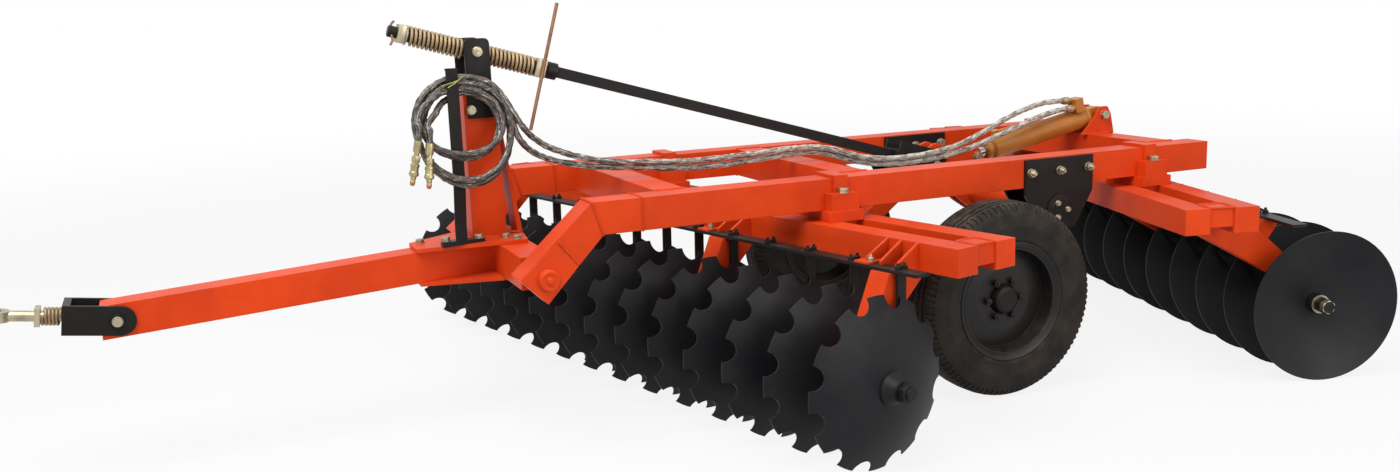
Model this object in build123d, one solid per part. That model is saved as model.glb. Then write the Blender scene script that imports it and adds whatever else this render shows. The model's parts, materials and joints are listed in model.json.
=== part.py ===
from build123d import *
import math
import os

os.makedirs("parts", exist_ok=True)

# Trailed offset disc harrow with hydraulic transport wheels.
# Working frame, mm: +X machine's left, -Y towards the tow eye, +Z up, ground at z = 0.
ROW_X, ROW_Y = -252.04, -532.70   # the row origin in the working frame, under the overall box's middle

# ---- main frame ----
TUBE = 120.0                 # main beams, cross tubes, pivot beam and drawbar, square
BEAM_X = 545.0               # beam centre lines
BEAM_TOP = 912.0
BEAM_FRONT = -1510.0         # bend of the goosenecks
BEAM_REAR = {1: 1320.0, -1: 1420.0}
CROSS_Y = {"front": -1162.0, "middle": -385.0, "rear": 1170.0}
PIVOT = (-1684.0, 655.0)     # hitch pivot, (y, z)
PIVOT_R = 25.0
DOUBLER = 8.0
RUN = 0.5                    # radial clearance of a turning pin
SEAT = 0.3                   # gap between a moving piece and what it rests on

# ---- discs and gangs ----
DISC_D = 610.0
DISC_T = 6.0
DISC_FLAT_R = 62.0
DISC_SPHERE = 640.0
SPACING = 230.0
DISCS = 14
NOTCHES = 12
NOTCH_R = 42.0
AXLE_Z = DISC_D / 2
AXLE = 32.0                  # square axle
SPOOL_END_R, SPOOL_END_T, SPOOL_FLARE, SPOOL_R = 60.0, 14.0, 12.0, 38.0
BEARING_R, BEARING_W = 72.0, 90.0
GANG_TOP, GANG_TUBE = 751.0, 100.0
HANGERS_AFTER = range(0, DISCS - 1, 4)    # a bearing stands in the gap after each of these discs
HANGER_T, GUSSET_T = 12.0, 10.0
TIE_SUNK, TIE_INSET = 25.0, 8.0    # the ties between a gang frame's two tubes stand back from them
SCRAPER_BAR = (60.0, 12.0)
ARM_W, ARM_T = 40.0, 10.0          # scraper arm
BLADE_W, BLADE_L, BLADE_T = 90.0, 120.0, 6.0
BLADE_R, BLADE_GAP = 190.0, 13.0   # blade centre from the gang axis, and its gap to the disc
ARM_GAP = 8.0                      # scraper arm to the disc's rim plane

# Two gangs. x, y: near front top corner of the frame; turn: degrees about +Z; width: over both
# tubes; rim: near frame end to the first disc's rim plane; axis: front edge to the disc axis, + rearwards;
# bulge: side that the discs bulge to, +1 outwards; bar: front edge to the scraper bar; scraped: its discs;
# bell: radii and length of the axle's end washers
GANGS = {
    "front": dict(x=1332.0, y=-474.0, turn=13.67, width=292.0, rim=144.0, axis=-244.0, bulge=1,
                  notched=True, bar=-105.0, bar_z=664.0, scraped=range(DISCS), bell=(60.0, 36.0, 46.0)),
    "rear": dict(x=1180.0, y=656.0, turn=-16.0, width=298.0, rim=115.0, axis=670.0, bulge=-1,
                 notched=False, bar=505.0, bar_z=645.0, scraped=range(1, DISCS), bell=(40.0, 34.0, 30.0)),
}

# ---- wheels and rockshaft ----
TYRE_R, TYRE_W, RIM_R = 392.0, 196.0, 222.0
WHEEL_X = 747.0
ROCK = (516.0, 690.0)        # rockshaft axis, (y, z)
ROCK_R = 51.0
WHEEL_Y = 121.0
ARM = 84.0
PLATE_T = 12.0
LEVER_CYL = (512.0, 855.0)   # cylinder pin, (y, z)
LEVER_ROD = (277.0, 838.0)   # levelling rod pin
PIN_R = 15.5

# ---- cylinder ----
CYL_BASE = (1205.0, 998.0)
BARREL_R, ROD_R = 50.0, 22.0
ROD_SHOWN = 104.0            # end of the barrel to the rod's pin, at rest
GLAND_R, GLAND_T = 42.0, 26.0
ROD_EYE_W = 48.0
LEVER_GAP = 60.0             # between the two lever plates
LEVER_T = 16.0
FORK_GAP, FORK_T = 6.0, 10.0     # lever plate to the levelling bar's fork plate, and its thickness

# ---- hitch ----
DRAWBAR_DROP = 3.54          # degrees
DRAWBAR_FRONT = -3141.0
CLEVIS_PIN = (-3087.0, 574.0)
CLEVIS_RISE = 8.0            # degrees that the tow eye stands above level
PLATE, LOW_PLATE = 16.0, 14.0
MAST_X, MAST_Y0, MAST_Y1, MAST_TOP = 78.0, -1822.0, -1690.0, 1283.0
TRUNNION = (-1760.0, 1437.0)
TRUNNION_R = 32.0
SCREW_R = 15.0
SPRING_END = 250.0           # trunnion to the stop of each spring
SCREW_NUT = 70.0             # across the nut that the turning bar is welded to
TURNING_R = 7.0
TOW_EYE_R, TOW_BORE_R, TOW_T = 46.0, 22.0, 36.0
TOP_PLATE = dict(tip=-2040.0, wide=-1700.0, step=-1640.0, rear=-1620.0)
BOTTOM_PLATE = dict(tip=-2030.0, wide=-1745.0, rear=-1640.0)
MAST_FOOT = -1600.0

# ---- hoses ----
HOSE_R = 11.0
# centre points (x, y, z) from the ports on the cylinder to the coil, by hand
HOSES = {
    "hose_a": [(42, 1004, 1034), (45, 930, 1032), (58, 815, 1003), (74, 690, 970), (88, 565, 934),
               (97, 450, 904), (100, 330, 884), (100, 195, 870), (100, 45, 865), (100, -110, 880),
               (100, -225, 917), (100, -320, 946), (101, -452, 951), (101, -570, 943), (100, -697, 932),
               (100, -860, 927), (100, -1000, 935), (100, -1100, 948), (100, -1225, 958),
               (100, -1345, 972), (101, -1466, 998), (111, -1550, 1030), (135, -1610, 1072),
               (165, -1653, 1130)],
    "hose_b": [(14, 1004, 1071), (15, 930, 1074), (26, 840, 1061), (46, 735, 1040), (70, 615, 1005),
               (94, 480, 955), (110, 340, 915), (115, 195, 896), (116, 45, 890), (116, -110, 904),
               (116, -225, 941), (116, -320, 970), (115, -452, 976), (113, -570, 970), (112, -700, 964),
               (110, -860, 957), (110, -1000, 962), (110, -1100, 971), (110, -1225, 980),
               (110, -1345, 1000), (110, -1450, 1034), (118, -1540, 1075), (140, -1602, 1128),
               (172, -1648, 1190)],
}
COIL = dict(at=(170.8, -1833.0, 1152.0), lean=14.6, outer=(206.0, 212.0), thick=46.0,
            hole=(118.0, 114.0), hole_at=(-5.0, 25.0))
# couplers: top and lower end
COUPLERS = {"hose_coupler_a": ((236.0, -1990.0, 1125.0), (262.0, -2010.0, 965.0)),
            "hose_coupler_b": ((228.0, -2028.0, 1137.0), (236.0, -2062.0, 991.0))}


def save(name, shape):
    solids = [Pos(-ROW_X, -ROW_Y, 0) * solid for solid in shape.solids()]
    export_step(solids[0] if len(solids) == 1 else Compound(solids), f"parts/{name}.step")


def box(x0, x1, y0, y1, z0, z1):
    mid = Pos((x0 + x1) / 2, (y0 + y1) / 2, (z0 + z1) / 2)
    return mid * Box(abs(x1 - x0), abs(y1 - y0), abs(z1 - z0))


def slab(points, x0, x1):
    """Plate with a (y, z) outline, from x0 to x1."""
    face = make_face(Polyline(*[(x0, y, z) for y, z in points], close=True))
    return extrude(face, amount=x1 - x0, dir=(1, 0, 0))


def flat(points, z0, z1):
    """Plate with an (x, y) outline, from z0 to z1."""
    face = make_face(Polyline(*[(x, y, z0) for x, y in points], close=True))
    return extrude(face, amount=z1 - z0, dir=(0, 0, 1))


def pin(y, z, r, x0, x1):
    return Pos((x0 + x1) / 2, y, z) * Rot(0, 90, 0) * Cylinder(r, abs(x1 - x0))


def nut(y, z, across, x0, x1):
    body = extrude(RegularPolygon(across / math.sqrt(3), 6), amount=abs(x1 - x0))
    return Pos(min(x0, x1), y, z) * Rot(0, 90, 0) * body


def along(p, q):
    """Plane at p whose z runs to q and whose x is as near as can be to the row's X."""
    return Plane(origin=p, x_dir=(1, 0, 0), z_dir=tuple(b - a for a, b in zip(p, q)))


def length(p, q):
    return math.dist(p, q)


def strut(p, q, wide, deep):
    up = (Align.CENTER, Align.CENTER, Align.MIN)
    return along(p, q) * Box(wide, deep, length(p, q), align=up)


def round_strut(p, q, r):
    up = (Align.CENTER, Align.CENTER, Align.MIN)
    return along(p, q) * Cylinder(r, length(p, q), align=up)


def turned(points):
    """Solid turned about X from an (x, r) outline."""
    return revolve(make_face(Polyline(*points, close=True)), axis=Axis.X)


def several(shapes):
    return Compound([solid for shape in shapes for solid in shape.solids()])


# ---------------------------------------------------------------- main beams
beam_low = BEAM_TOP - TUBE
for side, name in ((1, "main_beam_left"), (-1, "main_beam_right")):
    outline = [(BEAM_REAR[side], beam_low), (BEAM_REAR[side], BEAM_TOP), (BEAM_FRONT, BEAM_TOP),
               (-1785.0, 662.0), (-1690.0, 567.0), (-1470.0, beam_low)]
    doubler = [(-1641.0, 785.0), (-1785.0, 662.0), (-1690.0, 567.0), (-1569.0, 694.0)]
    half = TUBE / 2
    beam = slab(outline, -half, half)
    beam += slab(doubler, half, half + DOUBLER) + slab(doubler, -half - DOUBLER, -half)
    beam -= pin(*PIVOT, PIVOT_R + RUN, -100, 100)
    save(name, Pos(side * BEAM_X, 0, 0) * beam)

inner = BEAM_X - TUBE / 2
outer = BEAM_X + TUBE / 2
for name, y in CROSS_Y.items():
    save(f"cross_tube_{name}", box(-inner, inner, y - TUBE / 2, y + TUBE / 2, beam_low, BEAM_TOP))

pivot_pins = []
for side in (1, -1):
    shank = pin(*PIVOT, PIVOT_R, side * 400, side * (outer + DOUBLER))
    head = pin(*PIVOT, 34.0, side * (outer + DOUBLER), side * (outer + DOUBLER + 22))
    pivot_pins.append(shank + head)
save("pivot_pins", several(pivot_pins))

# ---------------------------------------------------------------- rockshaft hangers, black
plate = [(345, 908), (687, 908), (687, 760), (600, 612), (432, 612), (345, 760)]
hangers = []
for x in (-outer - PLATE_T, -inner, inner - PLATE_T, outer):
    hangers.append(slab(plate, x, x + PLATE_T) - pin(*ROCK, ROCK_R + RUN, x - 1, x + PLATE_T + 1))
save("rockshaft_plates", several(hangers))

# ---------------------------------------------------------------- cylinder bracket
lug = [(1085, BEAM_TOP), (1265, BEAM_TOP), (1246, 1000), (1226, 1036), (1184, 1036), (1164, 1000)]
bracket = [slab(lug, x, x + 16) for x in (-72, 56)]
bracket.append(pin(*CYL_BASE, 20.0, -82, 82))
save("cylinder_bracket", bracket[0] + bracket[1] + bracket[2])


# ---------------------------------------------------------------- gangs
def disc(bulge, notched):
    """Dished disc: flat centre on x = 0, rim away from the bulge."""
    r1, r2, rm = DISC_FLAT_R, DISC_D / 2, (DISC_FLAT_R + DISC_D / 2) / 2
    flat_depth = DISC_SPHERE - math.sqrt(DISC_SPHERE ** 2 - r1 ** 2)
    depth = {r: DISC_SPHERE - math.sqrt(DISC_SPHERE ** 2 - r ** 2) - flat_depth for r in (rm, r2)}
    t = DISC_T / 2
    line1 = Polyline((-depth[r2] + t, r2), (-depth[r2] - t, r2))
    arc1 = ThreePointArc((-depth[r2] - t, r2), (-depth[rm] - t, rm), (-t, r1))
    line2 = Polyline((-t, r1), (-t, 0), (t, 0), (t, r1))
    arc2 = ThreePointArc((t, r1), (-depth[rm] + t, rm), (-depth[r2] + t, r2))
    body = revolve(make_face([line1, arc1, line2, arc2]), axis=Axis.X)
    body -= Box(60, AXLE + 1, AXLE + 1)
    if notched:
        for k in range(NOTCHES):
            angle = math.radians((k + 0.5) * 360 / NOTCHES)
            place = Pos(-60, DISC_D / 2 * math.sin(angle), -DISC_D / 2 * math.cos(angle))
            body -= place * Rot(0, 90, 0) * Cylinder(NOTCH_R, 160)
    return body if bulge > 0 else Rot(0, 0, 180) * body


def dish(r):
    """How far the disc's middle surface lies behind its flat centre at radius r."""
    return math.sqrt(DISC_SPHERE ** 2 - DISC_FLAT_R ** 2) - math.sqrt(DISC_SPHERE ** 2 - r ** 2)


RIM_DEPTH = dish(DISC_D / 2)


def scraper(x, sign, axis_y, bar_y, bar_z):
    """Arm down from the bar and blade in the hollow of the disc whose flat centre is at x."""
    side = math.copysign(1, bar_y - axis_y)
    c = math.sqrt(0.5)
    y, z = axis_y + side * c * BLADE_R, AXLE_Z + c * BLADE_R
    arm_x = x - sign * (RIM_DEPTH + DISC_T / 2 + ARM_GAP)
    half = ARM_W / 2
    outline = [(bar_y - half, bar_z + 1), (bar_y + half, bar_z + 1), (y + half, z - 25), (y - half, z - 25)]
    arm = slab(outline, min(arm_x, arm_x - sign * ARM_T), max(arm_x, arm_x - sign * ARM_T))
    slant = math.asin(BLADE_R / DISC_SPHERE)
    normal = (-sign * math.cos(slant), -math.sin(slant) * side * c, -math.sin(slant) * c)
    face = (x - sign * (dish(BLADE_R) + DISC_T / 2), y, z)
    middle = tuple(f + n * (BLADE_GAP + BLADE_T / 2) for f, n in zip(face, normal))
    blade = Plane(origin=middle, x_dir=(0, -side * c, c), z_dir=normal) * Box(BLADE_W, BLADE_L, BLADE_T)
    stem = box(arm_x, middle[0] - sign * 3, y - 15, y + 15, z - 20, z + 20)
    return arm + stem + blade


def spool(r_mid):
    """Spacer between two discs' flat centres, from x = 0 to the next disc."""
    end = SPACING - DISC_T
    shape = turned([(0, 26), (0, SPOOL_END_R), (SPOOL_END_T, SPOOL_END_R), (SPOOL_END_T + SPOOL_FLARE, r_mid),
                    (end - SPOOL_END_T - SPOOL_FLARE, r_mid), (end - SPOOL_END_T, SPOOL_END_R),
                    (end, SPOOL_END_R), (end, 26)])
    return shape


for name, g in GANGS.items():
    # local frame: x outwards along the gang (0 at the near end), y from the frame's front edge, z up
    place = Pos(g["x"], g["y"], 0) * Rot(0, 0, g["turn"])
    total = 2 * g["rim"] + SPACING * (DISCS - 1)
    w, t = g["width"], GANG_TUBE
    z0, z1 = GANG_TOP - t, GANG_TOP
    # frame: two tubes, end pieces and ties under the main beams
    frame = box(0, -total, 0, t, z0, z1) + box(0, -total, w - t, w, z0, z1)
    low, inset = z0 + TIE_SUNK, TIE_INSET
    frame += box(-inset, -t, t, w - t, low, z1) + box(-total + inset, -total + t, t, w - t, low, z1)
    cos, tan = math.cos(math.radians(g["turn"])), math.tan(math.radians(g["turn"]))
    for side in (1, -1):
        mid = ((side * BEAM_X - g["x"]) - math.sin(math.radians(-g["turn"])) * w / 2) / cos
        frame += box(mid - 90, mid + 90, t, w - t, low, z1)
    save(f"{name}_gang_frame", place * frame)

    # discs, spools and axle
    sign = g["bulge"]
    flat_x = [-g["rim"] + sign * RIM_DEPTH - SPACING * k for k in range(DISCS)]
    axis = Pos(0, g["axis"], AXLE_Z)
    one = disc(sign, g["notched"])
    save(f"{name}_discs", place * axis * several(Pos(x, 0, 0) * one for x in flat_x))
    spools = [Pos(x - SPACING + DISC_T / 2, 0, 0) * spool(SPOOL_R) for x in flat_x[:-1]]
    save(f"{name}_spools", place * axis * several(spools))
    a, b = flat_x[0] + DISC_T / 2, flat_x[-1] - DISC_T / 2
    wide, narrow, long = g["bell"]
    axle = box(b - 92, a + 92, -AXLE / 2, AXLE / 2, -AXLE / 2, AXLE / 2)
    bell = turned([(0, 0), (0, wide), (8, wide), (long, narrow), (long, 0)])
    axle += Pos(a, 0, 0) * bell + Pos(b, 0, 0) * Rot(0, 0, 180) * bell
    for x in (a + long, b - long - 30):
        axle += Pos(x, 0, 0) * nut(0, 0, 56, 0, 30)
    save(f"{name}_gang_axle", place * axis * axle)

    # bearings and hangers, in the gaps between discs
    bearings, arms, stays = [], [], []
    middles = [flat_x[k] - SPACING / 2 - sign * RIM_DEPTH / 2 for k in HANGERS_AFTER]
    for x in middles:
        ring = Rot(0, 90, 0) * (Cylinder(BEARING_R, BEARING_W) - Cylinder(SPOOL_R + SEAT, BEARING_W + 2))
        bearings.append(Pos(x, g["axis"], AXLE_Z) * ring)
        # outlines in (y, z), from the frame past the scraper bar's seat down to the bearing
        bar, low, top = g["bar"], g["bar_z"], g["bar_z"] + SCRAPER_BAR[1]
        back, half = bar + SCRAPER_BAR[0] / 2, BEARING_W / 2
        if g["axis"] < 0:
            arm = [(0, z1), (bar, top + 14), (bar, top), (back, top), (back, low), (bar - 40, low),
                   (-250, 430), (-292, 362), (-210, 362), (-60, 560), (40, z0), (0, z0)]
            web = [(bar - 40, low), (bar - 28, low), (-238, 434), (-250, 430)]
            sides = slab(arm, x - half, x - half + HANGER_T) + slab(arm, x + half - HANGER_T, x + half)
            arms.append(sides + slab(web, x - half, x + half))
            third = x - 105
            gusset = [(0, z1), (bar, top + 20), (bar, top + 8), (0, z0 + 30)]
            stays.append(slab(gusset, third - GUSSET_T / 2, third + GUSSET_T / 2)
                         + box(third - 35, third + 35, bar - 28, bar + 28, top, top + 8))
        else:
            arm = [(w - 80, z0), (w - 200, z0), (640, 345), (714, 345), (696, 372), (w + 40, z0 + 44),
                   (w, z1), (w, z0)]
            gusset = [(w, z1 - 10), (w, z0), (w + 160, 500), (bar + 40, low), (bar - 40, low)]
            arms.append(slab(arm, x - half, x + half)
                        + slab(gusset, x - HANGER_T / 2, x + HANGER_T / 2))
    holes = [Pos(x, g["axis"], AXLE_Z) * Rot(0, 90, 0) * Cylinder(BEARING_R, 200) for x in middles]
    save(f"{name}_bearings", place * several(bearings))
    save(f"{name}_hangers", place * several([arm - hole for arm, hole in zip(arms, holes)] + stays))

    # scraper bar with an arm and blade in the hollow of each disc
    half = SCRAPER_BAR[0] / 2
    bar = box(-60, -total + 60, g["bar"] - half, g["bar"] + half, g["bar_z"], g["bar_z"] + SCRAPER_BAR[1])
    for k in g["scraped"]:
        bar += scraper(flat_x[k], sign, g["axis"], g["bar"], g["bar_z"])
    save(f"{name}_scraper_bar", place * bar)

# ---------------------------------------------------------------- clamps of the gang frames
clamps = []
for name, g in GANGS.items():
    turn = math.radians(g["turn"])
    for side in (1, -1):
        x = side * BEAM_X
        along_x = (x - g["x"]) / math.cos(turn) + g["width"] / 2 * math.tan(turn)
        y = g["y"] + along_x * math.sin(turn) + g["width"] / 2 * math.cos(turn)
        pad = box(x - 115, x + 115, y - 75, y + 75, GANG_TOP, beam_low)
        pad += box(x - 72, x + 72, y - 30, y + 30, BEAM_TOP, BEAM_TOP + 12)
        for s in (1, -1):
            pad += box(x + s * 60, x + s * 72, y - 30, y + 30, beam_low, BEAM_TOP + 12)
            pad += box(x + s * 60, x + s * 108, y - 60, y + 60, beam_low, beam_low + 66)
            pad += Pos(x + s * 90, y, beam_low + 66) * Cylinder(17, 12, align=(Align.CENTER,
                                                                               Align.CENTER, Align.MIN))
        clamps.append(pad)
save("gang_clamps", several(clamps))

# ---------------------------------------------------------------- rockshaft
wheel_z = TYRE_R
save("rockshaft", pin(*ROCK, ROCK_R, -outer - 20, outer + 20))
for side, name in ((1, "left"), (-1, "right")):
    top, low = (side * BEAM_X, *ROCK), (side * BEAM_X, WHEEL_Y, wheel_z)
    near, far = side * (BEAM_X - ARM / 2), side * (BEAM_X + ARM / 2)
    arm = strut(top, low, ARM, ARM) + pin(*ROCK, 70, near, far) + pin(WHEEL_Y, wheel_z, 58, near, far)
    arm += pin(WHEEL_Y, wheel_z, 28, side * BEAM_X, side * (WHEEL_X + 60))
    save(f"wheel_arm_{name}", arm - pin(*ROCK, ROCK_R, near - side, far + side))
lever = [(592, 690), (536, 868), (524, 890), (494, 896), (268, 882), (236, 858), (236, 818),
         (262, 798), (440, 650), (500, 610), (560, 616)]
lever_in, lever_out = LEVER_GAP / 2, LEVER_GAP / 2 + LEVER_T
lever_plates, lever_pins = [], []
for side in (1, -1):
    a, b = sorted((side * lever_in, side * lever_out))
    bores = pin(*ROCK, ROCK_R, a - 1, b + 1) + pin(*LEVER_CYL, PIN_R, a - 1, b + 1)
    lever_plates.append(slab(lever, a, b) - bores - pin(*LEVER_ROD, PIN_R, a - 1, b + 1))
    lever_pins.append(pin(*LEVER_CYL, PIN_R, side * lever_in, side * (lever_out + 14)))
    lever_pins.append(pin(*LEVER_ROD, PIN_R, side * lever_in, side * (lever_out + FORK_GAP / 2)))
save("rockshaft_lever", several(lever_plates))
save("lever_pins", several(lever_pins))

# ---------------------------------------------------------------- cylinder
base = (0, *CYL_BASE)
eye = (0, *LEVER_CYL)
reach = length(base, eye)
unit = [(e - b) / reach for b, e in zip(base, eye)]


def on_cylinder(distance, lift=0.0):
    """Point at a distance from the base pin along the cylinder, lifted square to it."""
    return (0, base[1] + unit[1] * distance + unit[2] * lift, base[2] + unit[2] * distance - unit[1] * lift)


barrel_end = reach - ROD_SHOWN
barrel = round_strut(on_cylinder(60), on_cylinder(barrel_end), BARREL_R)
barrel += round_strut(on_cylinder(barrel_end), on_cylinder(barrel_end + GLAND_T), GLAND_R)
barrel += pin(*CYL_BASE, 36, -26, 26) + strut(on_cylinder(20), on_cylinder(62), 52, 72)
barrel -= pin(*CYL_BASE, 20 + RUN, -40, 40)
# port block at the base with a fitting for each hose, and the pipe along to the rod end
barrel += Pos(26, 0, 0) * strut(on_cylinder(92, 75), on_cylinder(136, 75), 60, 64)
for points in HOSES.values():
    first, second = points[:2]
    start, stop = [tuple(a - (b - a) * back / length(first, second) for a, b in zip(first, second))
                   for back in (56, SEAT)]
    barrel += round_strut(start, stop, HOSE_R + 3)
barrel += round_strut(on_cylinder(barrel_end - 40, 40), on_cylinder(barrel_end - 40, 78), 17)
barrel += round_strut(on_cylinder(130, 66), on_cylinder(barrel_end - 40, 66), 8)
barrel -= round_strut(on_cylinder(120), on_cylinder(barrel_end + 40), ROD_R + RUN)
save("cylinder_barrel", barrel)
rod = round_strut(on_cylinder(170), on_cylinder(reach - 20), ROD_R)
rod += pin(*LEVER_CYL, 32, -ROD_EYE_W / 2, ROD_EYE_W / 2)
save("cylinder_rod", rod)

# ---------------------------------------------------------------- wheels
for side, name in ((1, "left"), (-1, "right")):
    h = TYRE_W / 2
    tyre = turned([(-h + 28, RIM_R), (-h, RIM_R + 40), (-h, TYRE_R - 70), (-h + 22, TYRE_R - 16),
                   (-h + 50, TYRE_R), (h - 50, TYRE_R), (h - 22, TYRE_R - 16), (h, TYRE_R - 70),
                   (h, RIM_R + 40), (h - 28, RIM_R)])
    rim = turned([(-h + 22, RIM_R), (-h + 22, RIM_R - 16), (-30, RIM_R - 34), (6, RIM_R - 34), (20, 120),
                  (20, 62), (28, 62), (28, 124), (16, RIM_R - 26), (h - 22, RIM_R - 16), (h - 22, RIM_R)])
    hub = turned([(-60, 29), (-60, 52), (4, 60), (12, 95), (20, 95), (20, 58), (56, 52), (64, 40),
                  (64, 0), (61, 0), (61, 29)])
    for b in range(6):
        angle = math.radians(60 * b)
        rim += Pos(34, 78 * math.cos(angle), 78 * math.sin(angle)) * Rot(0, 90, 0) * Cylinder(11, 12)
    at = Pos(side * WHEEL_X, WHEEL_Y, wheel_z) * Rot(0, 0, 0 if side > 0 else 180)
    save(f"tyre_{name}", at * tyre)
    save(f"rim_{name}", at * rim)
    save(f"hub_{name}", at * hub)

# ---------------------------------------------------------------- hitch
end = inner - DOUBLER - 9
pivot_beam = box(-end, end, PIVOT[0] - 60, PIVOT[0] + 60, PIVOT[1] - 60, PIVOT[1] + 60)
for side in (1, -1):
    pivot_beam -= pin(*PIVOT, PIVOT_R + RUN, side * 399, side * 600)
save("pivot_beam", pivot_beam)
y_back = PIVOT[0] - TUBE / 2
half = TUBE / 2


def drawbar_line(offset, front, rear=None):
    """(y, z) points at an offset above the drawbar's centre line, level over the pivot beam."""
    drop = math.tan(math.radians(DRAWBAR_DROP)) * (y_back - front)
    points = [(front, PIVOT[1] + offset - drop), (y_back, PIVOT[1] + offset)]
    return points + ([(rear, PIVOT[1] + offset)] if rear else [])


tongue = slab(drawbar_line(half, DRAWBAR_FRONT) + drawbar_line(-half, DRAWBAR_FRONT)[::-1], -half, half)
save("drawbar", tongue - pin(*CLEVIS_PIN, 16, -70, 70))
tip, wide, step, rear = TOP_PLATE.values()
plan = flat([(-75, tip), (75, tip), (200, wide), (200, step), (60, rear), (-60, rear), (-200, step),
             (-200, wide)], 400, 900)
sheet = drawbar_line(half + PLATE, tip, rear) + drawbar_line(half, tip, rear)[::-1]
save("hitch_top_plate", slab(sheet, -220, 220) & plan)
tip, wide, rear = BOTTOM_PLATE.values()
plan = flat([(-60, tip), (60, tip), (200, wide), (200, rear), (-200, rear), (-200, wide)], 400, 900)
sheet = drawbar_line(-half, tip, rear) + drawbar_line(-half - LOW_PLATE, tip, rear)[::-1]
save("hitch_bottom_plate", slab(sheet, -220, 220) & plan)
deck = PIVOT[1] + half + PLATE
mast = box(-MAST_X, MAST_X, MAST_Y0, MAST_Y1, deck - 20, MAST_TOP)
step, rear = TOP_PLATE["step"], TOP_PLATE["rear"]
mast += slab([(MAST_Y1, 1240), (MAST_Y1, 1180), (step, deck + 12), (step, deck), (rear, deck),
              (rear, deck + 12)], -50, 50)
under = drawbar_line(half + PLATE, TOP_PLATE["tip"], MAST_FOOT) + [(MAST_FOOT, 400), (TOP_PLATE["tip"], 400)]
save("mast", mast - slab(under, -220, 220))
ears = several(box(x, x + 12, TRUNNION[0] - 48, TRUNNION[0] + 48, 1190, 1487)
               - pin(*TRUNNION, 18 + RUN, x - 1, x + 13) for x in (-MAST_X - 12, MAST_X))
save("mast_ears", ears)

# ---------------------------------------------------------------- levelling rod
run = length((0, *TRUNNION), (0, *LEVER_ROD))
slope = [(b - a) / run for a, b in zip((0, *TRUNNION), (0, *LEVER_ROD))]


def on_rod(distance):
    return (0, TRUNNION[0] + slope[1] * distance, TRUNNION[1] + slope[2] * distance)


trunnion = pin(*TRUNNION, TRUNNION_R, -MAST_X + 2, MAST_X - 2) + pin(*TRUNNION, 18, -MAST_X - 22, MAST_X + 22)
trunnion -= round_strut(on_rod(-60), on_rod(60), SCREW_R + 5)
save("levelling_trunnion", trunnion)
save("levelling_screw", round_strut(on_rod(-300), on_rod(480), SCREW_R))
springs = []
free = SPRING_END - SEAT
for start, stop in ((-free, -TRUNNION_R - SEAT), (TRUNNION_R + SEAT, free)):
    coils = 13
    pitch = (stop - start) / coils
    outline = [(start, 24)]
    for k in range(coils):
        outline += [(start + pitch * k, 34), (start + pitch * (k + 0.5), 40), (start + pitch * (k + 1), 34)]
    outline.append((stop, 24))
    points = [outline[0]] + [p for i, p in enumerate(outline[1:]) if i == 0 or p != outline[i]]
    springs.append(along(on_rod(0), on_rod(1)) * Rot(0, -90, 0) * turned(points))
save("levelling_springs", several(springs))
front_nut = round_strut(on_rod(-SPRING_END - 40), on_rod(-SPRING_END), 36)
rear_nut = strut(on_rod(SPRING_END), on_rod(SPRING_END + 42), SCREW_NUT, 80)
screw = round_strut(on_rod(-300), on_rod(480), SCREW_R)
save("levelling_nuts", several([front_nut - screw, rear_nut - screw]))
turn_y, turn_z = on_rod(SPRING_END + 21)[1:]
turn_x = SCREW_NUT / 2 + TURNING_R + SEAT
save("turning_bar", round_strut((turn_x, turn_y - 60, turn_z - 235), (turn_x, turn_y + 75, turn_z + 245),
                                TURNING_R))
levelling_bar = round_strut(on_rod(300), on_rod(340), 33) + strut(on_rod(340), on_rod(run - 150), 42, 42)
levelling_bar -= round_strut(on_rod(290), on_rod(500), SCREW_R + 1)
fork_in = lever_out + FORK_GAP
fork_out = fork_in + FORK_T
levelling_bar += strut(on_rod(run - 200), on_rod(run - 120), 2 * fork_in, 56)
# fork plate: distance along the rod and height over its centre line
fork = [(run - 200, -34), (run - 200, 66), (run + 34, 66), (run + 52, 44), (run + 52, -40), (run + 30, -62),
        (run - 90, -62)]
fork = [(TRUNNION[0] + slope[1] * d - slope[2] * up, TRUNNION[1] + slope[2] * d + slope[1] * up)
        for d, up in fork]
for a, b in ((-fork_out, -fork_in), (fork_in, fork_out)):
    levelling_bar += slab(fork, a, b)
for side in (1, -1):
    levelling_bar += pin(*LEVER_ROD, 24, side * fork_out, side * (fork_out + 16))
save("levelling_bar", levelling_bar)

# ---------------------------------------------------------------- tow clevis and eye
rise = math.radians(CLEVIS_RISE)
tow_at = Pos(0, *CLEVIS_PIN) * Rot(-CLEVIS_RISE, 0, 0)
clevis = box(-75, 75, -175, -150, -52, 52)
for x in (-75, 63):
    cheek = box(x, x + 12, -150, 20, -52, 52) + pin(10, 0, 52, x, x + 12)
    clevis += cheek
clevis += pin(0, 0, 15.5, -88, 88) + pin(0, 0, 24, 75, 84) + pin(0, 0, 24, -84, -75)
clevis -= Pos(0, -162, 0) * Rot(90, 0, 0) * Cylinder(19, 40)
save("tow_clevis", tow_at * clevis)
shank = Rot(90, 0, 0) * Cylinder(19, 232, align=(Align.CENTER, Align.CENTER, Align.MIN))
tow = Pos(0, -128, 0) * shank + box(-30, 30, -150, -132, -30, 30)
tow += box(-32, 32, -262, -244, -32, 32)
ring = Pos(0, -350 - TOW_EYE_R + 12, 0) * Cylinder(TOW_EYE_R, TOW_T)
tow += ring
tow -= Pos(0, -350 - TOW_EYE_R + 12, 0) * Cylinder(TOW_BORE_R, TOW_T + 4)
save("tow_eye", tow_at * tow)
coils = 6
pitch = (244 - 175) / coils
outline = [(-244, 20)]
for k in range(coils):
    outline += [(-244 + pitch * k, 28), (-244 + pitch * (k + 0.5), 34)]
outline += [(-175, 28), (-175, 20)]
save("tow_spring", tow_at * Rot(0, 0, 90) * turned([(x, r) for x, r in outline]))

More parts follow.
